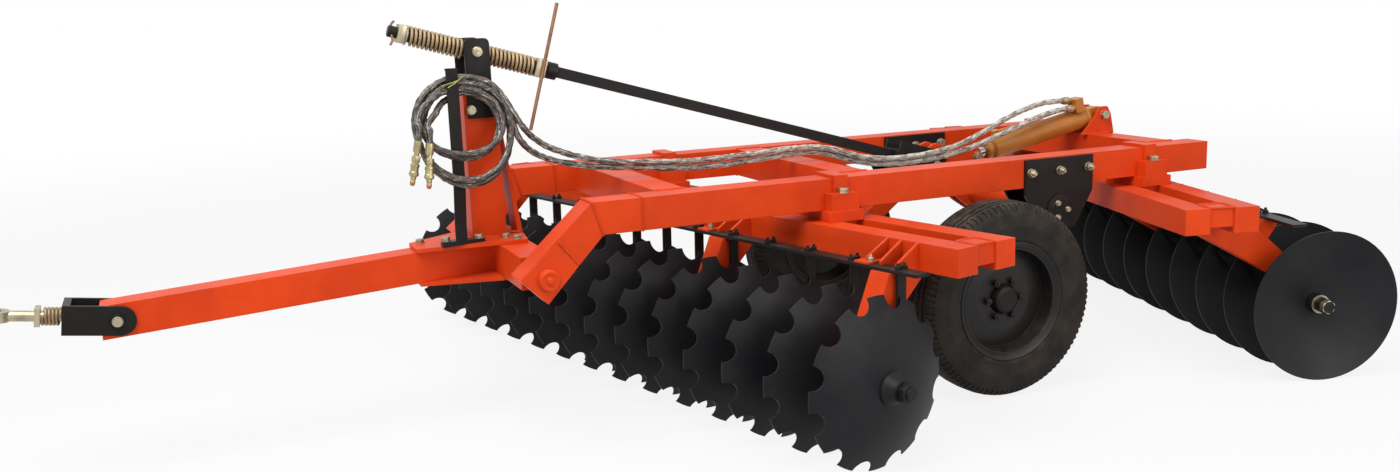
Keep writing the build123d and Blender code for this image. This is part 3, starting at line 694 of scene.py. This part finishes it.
# %% Parts turned from bar
def spun(name, outline, sides=32):
    """An (r, z) outline spun round the Z axis, on which it starts and ends unless it is a ring."""
    piece = trace(outline, name)
    edit(piece)
    bpy.ops.mesh.spin(steps=sides, angle=tau, center=(0, 0, 0), axis=(0, 0, 1))
    bpy.ops.object.mode_set(mode="OBJECT")
    tidy(piece, 0.04)
    return piece


def drum(name, across, low, high, sides=6, eased=1.2):
    """A bar with flats from low to high, with its edges bevelled."""
    deselect()
    bpy.ops.mesh.primitive_cylinder_add(vertices=sides, radius=across * MM / 2 / cos(pi / sides),
                                        depth=(high - low) * MM, location=(0, 0, (low + high) * MM / 2))
    piece = named(name)
    edit(piece)
    pick("FACE", lambda f: abs(f.normal.z) > 0.9)
    bpy.ops.mesh.inset(thickness=across * MM * 0.08)
    pick("EDGE", lambda e: folded(e, 0.3))
    bevel(eased)
    return done(piece)


# %% One coupler, hanging down from its ferrule
parts = [
    spun("ferrule", [(0, 0), (11.5, 0), (15, 2), (15, 36), (13.5, 39), (13.5, 43), (0, 43)]),
    spun("neck", [(0, 42), (9.5, 42), (9.5, 58), (0, 58)]),
    drum("grip", 30, 56, 78),
    spun("sleeve", [(0, 78), (12, 78), (12, 84), (16.5, 86), (16.5, 94), (15, 96), (15, 112), (18, 116),
                    (18, 126), (16.5, 128), (13, 128), (11, 132), (0, 132)]),
    spun("plug", [(0, 131), (10.5, 131), (10.5, 140), (8.5, 142), (8.5, 146), (10, 148), (10, 154),
                  (0, 154)]),
    spun("tip", [(0, 153), (9, 153), (8.5, 161), (6, 164), (0, 165)])]
for part in parts:
    coat(done(part, 30), "plug_tip" if part == parts[-1] else "zinc_yellow")
coupler = join("coupler", parts)
print("one coupler has", len(coupler.data.polygons), "faces")

# %% Hoses with their couplers
# The film makes a hose a tenth thicker and wrinkles it
FILM_SWELL = 1.1
wrinkles = bpy.data.textures.new("wrinkles", "CLOUDS")
wrinkles.noise_scale = 0.022
wrinkles.noise_depth = 2
for letter in "ab":
    name = f"hose_{letter}"
    head, toe = [Vector(p) for p in TURNS[name]["coupler"]]
    down = (toe - head).normalized()
    run = RUNS[name] + coil_points(TURNS[name]) + [head + down * step for step in (-50, -12, 12)]
    tube, line, long = hose("wrapped_" + name, run, HOSE_R * FILM_SWELL, sides=16)
    modify(tube, "DISPLACE", texture=wrinkles, texture_coords="LOCAL", strength=0.006, mid_level=0.5)
    dress(tube, "hose_rubber")
    end = copies(coupler, f"coupler_{letter}", [frame_at(spot(*head), down)])
    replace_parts(end, f"hose_coupler_{letter}")
    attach(end, "hitch")
    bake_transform(tube)
    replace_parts(tube, name, *(["hose_coil"] if letter == "a" else []))
forget(coupler)

# %% [markdown]
# ## The tie at the hook
# A twist of green plastic wire keeps the turns on their hook. It is a small helix pulled tight
# round the upright and the top strands, so a bent wire curve with a round section is enough.

# %% Wire tie
TIE_R = 0.0022
tie_line = [
    (128, -1842, 1335), (150, -1840, 1352), (182, -1846, 1350), (196, -1868, 1338), (196, -1902, 1330),
    (178, -1922, 1322), (150, -1918, 1318), (124, -1905, 1322), (118, -1880, 1330), (124, -1856, 1340),
    (148, -1850, 1346), (186, -1856, 1342), (206, -1880, 1330), (212, -1905, 1318)]
tie, _, _ = hose("wire_tie", tie_line, TIE_R)
fit(tie, "hitch", "hose_rubber", "green_wire")

# %% [markdown]
# ## The wound springs
# Two long springs hold the levelling rod between the mast's trunnion and its end nuts, and a short one
# cushions the tow eye. Real springs are wire wound round a bar, so a small ring is carried round an
# axis by the Screw modifier. The steps per turn are few, because the wire is thin.

# %% Winding a spring
def spring(name, long, mean, wire, turns):
    """A spring that stands on the origin along +Z, by its length, mean radius and wire's radius."""
    deselect()
    bpy.ops.mesh.primitive_circle_add(vertices=10, radius=wire * MM, location=(mean * MM, 0, wire * MM),
                                      rotation=(pi / 2, 0, 0))
    piece = named(name)
    apply_place()
    modify(piece, "SCREW", angle=tau * turns, screw_offset=(long - 2 * wire) * MM, steps=24 * turns,
           render_steps=24 * turns, axis="Z", use_smooth_shade=True)
    edit(piece)
    pick("EDGE", lambda e: e.is_boundary)
    bpy.ops.mesh.fill_holes(sides=0)
    bpy.ops.mesh.select_all(action="SELECT")
    bpy.ops.mesh.normals_make_consistent(inside=False)
    return done(piece)


# The rod passes through the trunnion, and its springs stand between two distances from there
ROD_START = spot(0, -1760, 1437)
ROD_LINE = Vector((0, 2037, -599)).normalized()
NEAR, FAR = 32.3, 249.7
SPRING_LONG = FAR - NEAR


def on_rod(distance, spin=0.0):
    return frame_at(ROD_START + ROD_LINE * (distance * MM), ROD_LINE, spin)


seats = [on_rod(-FAR), on_rod(NEAR)]
wound = spring("wound", SPRING_LONG, 32.5, 5.6, 13)
springs = fit(copies(wound, "wound_springs", seats), "leveller", "spring_steel")
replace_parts(springs, "levelling_springs")
guide = done(spun("guide", [
    (15.2, 0), (23.5, 0), (25, 2), (25, SPRING_LONG - 2), (23.5, SPRING_LONG), (15.2, SPRING_LONG)]), 30)
fit(copies(guide, "spring_guides", seats), "leveller", "black_paint")
forget(wound, guide)

# %% Nuts, cap and split pin of the levelling rod
front_nut = drum("front_nut", 68, -288, -258, sides=4, eased=3)
front_washer = done(spun("front_washer", [
    (0, -258), (36, -258), (37.5, -256.5), (37.5, -251.5), (36, -250), (0, -250)]), 30)
rear_nut = drum("rear_nut", 72, 250, 292, sides=4, eased=3)
nuts = join("levelling_end_nuts", [front_nut, front_washer, rear_nut])
nuts.data.transform(on_rod(0, radians(45)))
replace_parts(fit(nuts, "leveller", "zinc"), "levelling_nuts")
end_cap = done(spun("rod_end_cap", [
    (0, -322), (19, -322), (22, -319), (22, -291), (20, -288), (0, -288)]), 30)
end_cap.data.transform(on_rod(0))
fit(end_cap, "leveller", "black_paint")
SPLIT_PIN_R = 0.0045
pin_line = [
    (62, -2072, 1478), (50, -2060, 1490), (20, -2058, 1510), (-4, -2054, 1520), (-30, -2050, 1532),
    (-62, -2044, 1552), (-74, -2030, 1560)]
split_pin, _, _ = hose("split_pin", pin_line, SPLIT_PIN_R)
fit(split_pin, "leveller", "bare_steel")

# %% The tow spring
TOW_PIN = (0, -3087, 574)
TOW_RISE = radians(8)
TOW_LINE = Vector((0, -cos(TOW_RISE), sin(TOW_RISE)))
TOW_SPRING_FROM = 0.175
short = spring("wound_tow_spring", 69, 27.5, 5.5, 5)
short.data.transform(frame_at(spot(*TOW_PIN) + TOW_LINE * TOW_SPRING_FROM, TOW_LINE))
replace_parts(fit(short, "tow", "spring_steel"), "tow_spring")

# %% [markdown]
# ## The tyre
# A ribbed implement tyre has a few zigzag grooves round its tread and short cuts across each
# shoulder. The carcass is one outline spun round. Rings of its points are pushed sideways in turn to
# make the zigzag, and the faces between them are inset and pressed in.

# %% Carcass outline and spin
# Where the zigzag, the grooves and the shoulders' slots lie, and how deep they are pressed
TREAD_HALF, TREAD_R, ZIGZAG = 52, 380, 3.5
GROOVES, GROOVE_R, GROOVE_EDGE, GROOVE_DEEP = ((16.5, 22.5), (44.5, 50.5)), 384, 0.6, 6.5
SLOT_LOW, SLOT_HIGH, SLOT_R, SLOT_EDGE, SLOT_DEEP = 64, 90.5, 352, 2.2, 4.5
TYRE_STEPS = 192
half_outline = [
    (390.5, 16), (390, 23), (389.2, 44), (388.5, 51), (385.8, 64), (378, 78), (360, 89), (350, 92.5),
    (330, 95.5), (305, 97), (300, 98), (296, 97), (270, 95.5), (252, 92), (248, 92.5), (244, 90),
    (230, 80), (222.2, 74), (222.2, 69)]
outline = [(r, -x) for r, x in reversed(half_outline)] + [(391, -4), (391, 4)] + half_outline
tyre = trace(outline, "ribbed_tyre")
edit(tyre)
bpy.ops.mesh.spin(steps=TYRE_STEPS, angle=tau, center=(0, 0, 0), axis=(0, 0, 1))
bpy.ops.mesh.select_all(action="SELECT")
bpy.ops.mesh.remove_doubles(threshold=0.2 * MM)
bpy.ops.mesh.normals_make_consistent(inside=False)


def step_round(point):
    """How many steps of the spin a point has gone round."""
    return atan2(point.y, point.x) / tau * TYRE_STEPS


def within(point, low, high, reach):
    """Whether a point is this far from the tyre's middle plane, and outside a radius."""
    return low < abs(point.z) / MM < high and hypot(point.x, point.y) / MM > reach


def shoulder_slot(face):
    middle = face.calc_center_median()
    return step_round(middle) % 2 < 1 and within(middle, SLOT_LOW, SLOT_HIGH, SLOT_R)


for beat, push in ((0, ZIGZAG), (2, -ZIGZAG)):
    pick("VERT", lambda v: round(step_round(v.co)) % 4 == beat and within(v.co, -1, TREAD_HALF, TREAD_R))
    bpy.ops.transform.translate(value=(0, 0, push * MM))
for low, high in GROOVES:
    found = pick("FACE", lambda f: within(f.calc_center_median(), low, high, GROOVE_R))
    bpy.ops.mesh.inset(thickness=GROOVE_EDGE * MM, depth=-GROOVE_DEEP * MM, use_boundary=True)
    print("groove of", found, "faces")
found = pick("FACE", shoulder_slot)
bpy.ops.mesh.inset(thickness=SLOT_EDGE * MM, depth=-SLOT_DEEP * MM, use_boundary=True)
print("shoulder slots of", found, "faces")
bpy.ops.object.mode_set(mode="OBJECT")
modify(tyre, "SOLIDIFY", thickness=12 * MM, offset=-1.0)
done(tyre, 40)

# %% Tyres, wheel nuts and valves in place
HUB_X, HUB_Y, HUB_Z, STUD_CIRCLE = 747, 121, 392, 78
wheel_nut = join("wheel_nut", [
    drum("wheel_nut", 26, 0, 16, eased=1.5),
    spun("stud", [(0, 0), (6.8, 0), (6.8, 22), (5.5, 23.5), (0, 23.5)], 16)])
valve = done(spun("valve", [
    (0, 0), (6.5, 0), (6, 18), (4, 20), (4, 36), (4.5, 37), (4.5, 44), (0, 45)], 14), 40)
flange = done(spun("flange", [
    (206.5, 66), (218, 72.5), (230, 83.5), (237.5, 87), (238.5, 89.5), (234, 91.5), (222, 87),
    (212, 76.5), (205, 70), (206.5, 66)], 96), 35)
for side, name in ((1, "left"), (-1, "right")):
    body = f"wheel_{name}"
    stand = frame_at(spot(side * HUB_X, HUB_Y, HUB_Z), (side, 0, 0))
    wheel = fit(copies(tyre, f"ribbed_tyre_{name}", [stand]), body, "tyre_rubber")
    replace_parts(wheel, f"tyre_{name}")
    ring = [stand @ turned(60 * k) @ moved(STUD_CIRCLE, 0, 33.5) for k in range(6)]
    fit(copies(wheel_nut, f"wheel_nuts_{name}", ring), body, "rim_black")
    in_rim = stand @ turned(25) @ moved(0, 168, 22.5) @ turned(20, "X")
    fit(copies(valve, f"valve_{name}", [in_rim]), body, "tyre_rubber")
    fit(copies(flange, f"rim_flanges_{name}", [stand, stand @ turned(180, "X")]), body, "rim_black")
forget(tyre, wheel_nut, valve, flange)

# %% [markdown]
# ## Bolts, nuts and washers
# The machine is bolted together, so the same few fasteners come again and again. Each pattern is
# modelled once, standing on its seat: a washer turned from bar, a hexagon with eased edges and, on a
# nut, the end of the bolt that sticks out. Copies of a pattern are joined into one piece per body.

# %% Fastener patterns
# A fastener's own parts are shares of the width across its flats
WASHER_THICK, WASHER_R, STUD_R, EASED = 0.12, 0.62, 0.31, 0.05
PITCH = 2.5


def washer(radius, thick):
    ease = 0.6
    outline = [(0, 0), (radius, 0), (radius, thick - ease), (radius - ease, thick), (0, thick)]
    return spun("washer", outline, 20)


def hexagon(across, height):
    """A washer with a bevelled hexagon on it, and how high the hexagon's top lies."""
    thick = across * WASHER_THICK
    return [washer(across * WASHER_R, thick),
            drum("hexagon", across, thick, thick + height, eased=across * EASED)], thick + height


def bolt_head(across, height):
    parts, _ = hexagon(across, height)
    return join("bolt_head", [done(part, 35) for part in parts])


def nut_and_stud(across, height, proud):
    """A washer and a nut, with the threaded end of the bolt proud of it."""
    parts, top = hexagon(across, height)
    r = across * STUD_R
    thread = [(0, top - 2), (r, top - 2)]
    for turn in range(int(proud / PITCH)):
        thread += [(r, top + turn * PITCH), (r * 0.9, top + (turn + 0.5) * PITCH)]
    thread += [(r * 0.85, top + proud), (0, top + proud)]
    return join("nut_and_stud", [done(part, 35) for part in parts + [spun("stud", thread, 16)]])


M24_HEAD, M20_HEAD, M12_HEAD = bolt_head(36, 15), bolt_head(30, 12.5), bolt_head(19, 8)
LOW_HEAD = bolt_head(32, 6)
M20_NUT, M12_NUT = nut_and_stud(30, 16, 14), nut_and_stud(20, 11, 10)
UP = (0, 0, 1)

# %% Places along the two disc gangs
# A gang's frame stands askew under the beams. Its near corner, its turn and its depth are given, then
# where along it the first disc's rim stands, how far back its axle and its scraper bar lie, which way
# its discs bulge, the bar's top, how many discs have no scraper and how far its end bells reach.
GANGS = {
    "front": dict(corner=(1332, -474), turn=13.67, width=292, rim=144, axis=-244, bulge=1,
                  bar=-105, bar_top=676, unscraped=0, bell=49),
    "rear": dict(corner=(1180, 656), turn=-16.0, width=298, rim=115, axis=670, bulge=-1,
                 bar=505, bar_top=657, unscraped=1, bell=33),
}
DISCS, SPACING, AXLE_Z, RIM_DEPTH, BEAM_X = 14, 230, 305, 74.0, 545


def on_gang(gang, x, y, z):
    """From along the gang, back from its front edge and up, in millimetres, to the machine."""
    turn = radians(gang["turn"])
    corner_x, corner_y = gang["corner"]
    return spot(corner_x + cos(turn) * x - sin(turn) * y,
                corner_y + sin(turn) * x + cos(turn) * y, z)


def gang_side(gang, sign):
    turn = radians(gang["turn"])
    return Vector((cos(turn) * sign, sin(turn) * sign, 0))


# %% Bolts of the frame
# Each bolt is turned by some angle of its own, as a spanner leaves it
CLAMP_BOLTS, CLAMP_TOP, SCRAPER_BOLTS, ARM_ASIDE = 90, 858.3, 15, 16
STAY_ASIDE, STAY_THICK = 85, 8
frame_heads, frame_nuts, scraper_nuts, stays = [], [], [], []
for side in (1, -1):
    for y, z in ((370, 854), (516, 854), (661, 858)):
        frame_nuts.append(frame_at(spot(side * 617, y, z), (side, 0, 0), side * 0.3 + y))
        frame_heads.append(frame_at(spot(side * 473, y, z), (-side, 0, 0), y))
for gang in GANGS.values():
    turn, half = radians(gang["turn"]), gang["width"] / 2
    for x in (BEAM_X, -BEAM_X):
        reach = (x - gang["corner"][0]) / cos(turn) + half * tan(turn)
        y = gang["corner"][1] + reach * sin(turn) + half * cos(turn)
        for s in (1, -1):
            frame_heads.append(frame_at(spot(x + s * CLAMP_BOLTS, y, CLAMP_TOP), UP, x + s))
    for k in range(gang["unscraped"], DISCS):
        arm = -gang["rim"] - SPACING * k - gang["bulge"] * ARM_ASIDE
        for step in (-SCRAPER_BOLTS, SCRAPER_BOLTS):
            place = on_gang(gang, arm, gang["bar"] + step, gang["bar_top"])
            scraper_nuts.append(frame_at(place, UP, k + step))
front = GANGS["front"]
for k in range(0, DISCS - 1, 4):
    along = RIM_DEPTH / 2 - front["rim"] - SPACING * (k + 0.5) - STAY_ASIDE
    stays.append(frame_at(on_gang(front, along, front["bar"], front["bar_top"] + STAY_THICK), UP, k))
frame_heads += both_sides(72, 1205, 998, 0.4)
fit(copies(M24_HEAD, "frame_bolt_heads", frame_heads), "frame", "zinc")
fit(copies(M20_NUT, "frame_nuts", frame_nuts), "frame", "zinc")
fit(copies(M12_NUT, "stay_nuts", stays), "frame", "zinc")
fit(copies(M12_NUT, "scraper_nuts", scraper_nuts), "frame", "black_paint")

# %% Bolts of the hitch, the mast and the levers
# The first bolts stand on the drawbar, which rises by a few degrees, and the others on level plates
DRAWBAR_RISE = radians(3.54)
SLOPE = (0, -sin(DRAWBAR_RISE), cos(DRAWBAR_RISE))
HITCH_BOLTS = {
    SLOPE: [(-35, -2004, 715), (116, -1935, 739), (116, -1806, 739)],
    UP: [(-165, -1715, 731), (-105, -1668, 731), (120, -1705, 731), (172, -1672, 731), (-168, -1660, 731)],
}
places = [frame_at(spot(*p), up, p[0]) for up, bolts in HITCH_BOLTS.items() for p in bolts]
fit(copies(M20_HEAD, "hitch_bolts", places + both_sides(90, -1797, 1222, 0.2)), "hitch", "zinc")
pin_end = done(spun("pin_end", [
    (0, 0), (20, 0), (20, 3), (18.8, 3.5), (18.8, 11), (17, 13), (6, 13.5), (4, 12), (0, 12)], 28), 30)
fit(copies(pin_end, "trunnion_pin_ends", both_sides(90, -1760, 1437, 0.5)), "trunnion", "zinc")
fit(copies(LOW_HEAD, "levelling_bar_nuts", both_sides(78, 277, 838, 0.1)), "levelling_bar", "zinc")
fit(copies(M24_HEAD, "lever_pin_heads", both_sides(46.2, 512, 855, 0.7)), "rockshaft", "zinc")
fit(copies(M20_HEAD, "clevis_pin_heads", both_sides(84.3, *TOW_PIN[1:], 0.4)), "tow", "zinc")

# %% Pivot pins and rockshaft caps
boss = done(spun("boss", [
    (0, 0), (39.5, 0), (39.5, 3), (37, 4.5), (37, 20), (34, 23.5), (26, 24), (25, 21.5), (13, 21.5),
    (12, 30), (10, 32), (0, 32)], 40), 30)
fit(copies(boss, "pivot_pin_bosses", both_sides(613, -1684, 655)), "frame", "orange_paint")
cap = done(spun("cap", [(0, 0), (62, 0), (62, 7), (60, 9), (47, 10), (45, 13), (0, 13)], 40), 30)
cap_bolts = copies(M12_HEAD, "cap_bolts", [turned(120 * k) @ moved(34, 0, 12.8) for k in range(3)])
cap = join("cap", [coat(cap, "black_paint"), coat(cap_bolts, "zinc")])
caps = copies(cap, "rockshaft_caps", both_sides(617.5, 516, 690))
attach(caps, "rockshaft")

# %% Nuts at the gang ends
AXLE_REACH = 96.5
NUT_HEIGHT = 26


def gang_end(bell, nut_from, across, finish_names):
    """Washer on the bell, the axle's round end and its nut."""
    stop = AXLE_REACH - bell
    stub = [(0, 6), (23.5, 6), (23.5, stop - 2), (21.5, stop), (0, stop)]
    parts = [washer(38, 7), spun("stub", stub, 24),
             drum("nut", across, nut_from, nut_from + NUT_HEIGHT, eased=2.5)]
    return join("gang_end", [coat(done(part, 30), name) for part, name in zip(parts, finish_names)])


END_NUTS = {"front": gang_end(GANGS["front"]["bell"], 12, 62, ["disc_steel"] * 3),
            "rear": gang_end(GANGS["rear"]["bell"], 35, 50, ["zinc", "cast_black", "zinc"])}
for name, gang in GANGS.items():
    first = gang["bulge"] * RIM_DEPTH - gang["rim"]
    places = [frame_at(on_gang(gang, disc + sign * gang["bell"], gang["axis"], AXLE_Z),
                       gang_side(gang, sign), sign)
              for disc, sign in ((first, 1), (first - SPACING * (DISCS - 1), -1))]
    ends = copies(END_NUTS[name], f"{name}_gang_end_nuts", places)
    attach(ends, f"{name}_gang")
forget(M24_HEAD, M20_HEAD, M12_HEAD, LOW_HEAD, M20_NUT, M12_NUT, boss, cap, pin_end, *END_NUTS.values())

# %% [markdown]
# ## Fittings of the lift cylinder
# Each hose screws into its port with a hexagon, and a ring holds the rod's gland in the barrel. They
# lie along the hose and along the cylinder, so their places come from the same points.

# %% Hose nuts and cylinder rings
NUT_BACK, BASE_RING, GLAND_RING = 0.014, 0.066, 0.118
hose_nut = join("hose_nut", [
    drum("hose_nut", 34, 0, 22, eased=1.6),
    done(spun("collar", [(0, -8), (15.5, -8), (15.5, 0), (0, 0)], 20), 30)])
places = []
for points in RUNS.values():
    first, second = [spot(*p) for p in points[:2]]
    back = (first - second).normalized()
    places.append(frame_at(first + back * NUT_BACK, back, 0.3))
fit(copies(hose_nut, "hose_nuts", places), "barrel", "zinc")
BASE_PIN, ROD_PIN = spot(0, 1205, 998), spot(0, 512, 855)
cylinder_line = (ROD_PIN - BASE_PIN).normalized()
reach = (ROD_PIN - BASE_PIN).length
ring = done(spun("ring", [(30, -9), (52.5, -9), (54.5, -7), (54.5, 7), (52.5, 9), (30, 9)], 48), 30)
places = [frame_at(BASE_PIN + cylinder_line * far, cylinder_line) for far in (BASE_RING, reach - GLAND_RING)]
fit(copies(ring, "cylinder_rings", places), "barrel", "cylinder_paint")
forget(hose_nut, ring)

# %% [markdown]
# ## Mast ears and lever lugs
# The two ears that carry the trunnion are flame-cut plates with clipped corners. A plate is a box
# whose corner edges are picked and bevelled, first the two at the top and then every edge by a hair.
# The rockshaft lever ends in a round lug between the cheeks of the levelling bar.

# %% Plates with clipped corners
def plate(name, low, high, clip, picked):
    """A plate from low to high, in metres, with the picked corner edges cut off and all edges eased."""
    deselect()
    bpy.ops.mesh.primitive_cube_add(size=1, location=(low + high) / 2, scale=(high - low))
    piece = named(name)
    apply_place()
    edit(piece)
    pick("EDGE", picked)
    bevel(clip, segments=4)
    pick("EDGE", lambda e: folded(e, 1.0))
    bevel(1.2)
    return done(piece, 40)


EAR_TOP = 1487


def top_corner(edge):
    """Whether an edge lies on top and runs across the plate's thickness."""
    a, b = [vertex.co for vertex in edge.verts]
    return min(a.z, b.z) > (EAR_TOP - 1) * MM and abs(a.y - b.y) < 1 * MM


ears = join("mast_ear_plates", [plate("ear", spot(x, -1808, 1190), spot(x + 12, -1712, EAR_TOP), 20,
                                      top_corner) for x in (-90, 78)])
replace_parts(fit(ears, "hitch", "black_paint"), "mast_ears")
lugs = [drum("lug", 92, -8, 8, sides=40) for side in (1, -1)]
for lug, move in zip(lugs, both_sides(38, 292, 884)):
    lug.data.transform(move)
fit(join("lever_lugs", lugs), "rockshaft", "orange_paint")

# %% [markdown]
# ## Weld beads
# Where plates and tubes are welded, a bead of small overlapping ripples fills the corner. A ripple is
# a flattened ball with few faces, copied every few millimetres along straight lines between corners.

# %% A ripple and a bead of them
RIPPLE_STEP = 0.0048
deselect()
bpy.ops.mesh.primitive_uv_sphere_add(segments=8, ring_count=5, radius=0.0058)
ripple = named("ripple")
edit(ripple)
bpy.ops.transform.resize(value=(1.0, 1.0, 0.62))
done(ripple, 60)


def bead(name, body, runs):
    """Ripples along runs of places, a little closer together than they are long."""
    places = []
    for run in runs:
        for start, stop in zip(run, run[1:]):
            many = max(2, round((stop - start).length / RIPPLE_STEP))
            places += [frame_at(start.lerp(stop, k / many), stop - start, k) for k in range(many)]
    fit(copies(ripple, name, places), body, "orange_paint")


# %% Beads along the joints
# a beam lies between these two heights
LOW, HIGH = 792, 912
beam_beads = []
for side in (1, -1):
    inner, outer = side * 485, side * 605
    for y, top_y in ((-1472, -1510), (-1322, -1322)):
        beam_beads.append([(outer, y, LOW), (outer, top_y, HIGH), (inner, top_y, HIGH), (inner, y, LOW)])
    for near, far in ((-1222, -1102), (-445, -325), (1110, 1230)):
        beam_beads.append([(inner, near, LOW), (inner, near, HIGH), (inner, far, HIGH), (inner, far, LOW)])
    beam_beads.append([(side * 613, -1641, 785), (side * 613, -1569, 694)])
hitch_beads = [
    [(78, -1822, 731), (78, -1690, 731)], [(-78, -1822, 731), (-78, -1690, 731)],
    [(78, -1690, 731), (-78, -1690, 731)], [(50, -1690, 740), (50, -1622, 733)],
    [(78, -1822, 727), (-78, -1822, 727)], [(60, -1744, 596), (60, -1744, 712)],
    [(-60, -1744, 596), (-60, -1744, 712)]]
lug_beads = [[(x, 1087, 913), (x, 1263, 913)] for x in (-72, -56, 56, 72)]
for name, body, runs in (("frame_beads", "frame", beam_beads), ("hitch_beads", "hitch", hitch_beads),
                         ("bracket_beads", "frame", lug_beads)):
    bead(name, body, [[spot(*p) for p in run] for run in runs])
# the end pieces of a gang frame are welded on all round
END_TOP = 751
for name, gang in GANGS.items():
    long, deep = 2 * gang["rim"] + SPACING * (DISCS - 1), gang["width"]
    lines = [((x, 102), (x, deep - 102)) for x in (-8, -100, 100 - long, 8 - long)]
    lines += [((a, y), (b, y)) for y in (100, deep - 100) for a, b in ((-8, -100), (8 - long, 100 - long))]
    bead(f"{name}_gang_beads", "frame", [[on_gang(gang, *p, END_TOP) for p in line] for line in lines])
forget(ripple)
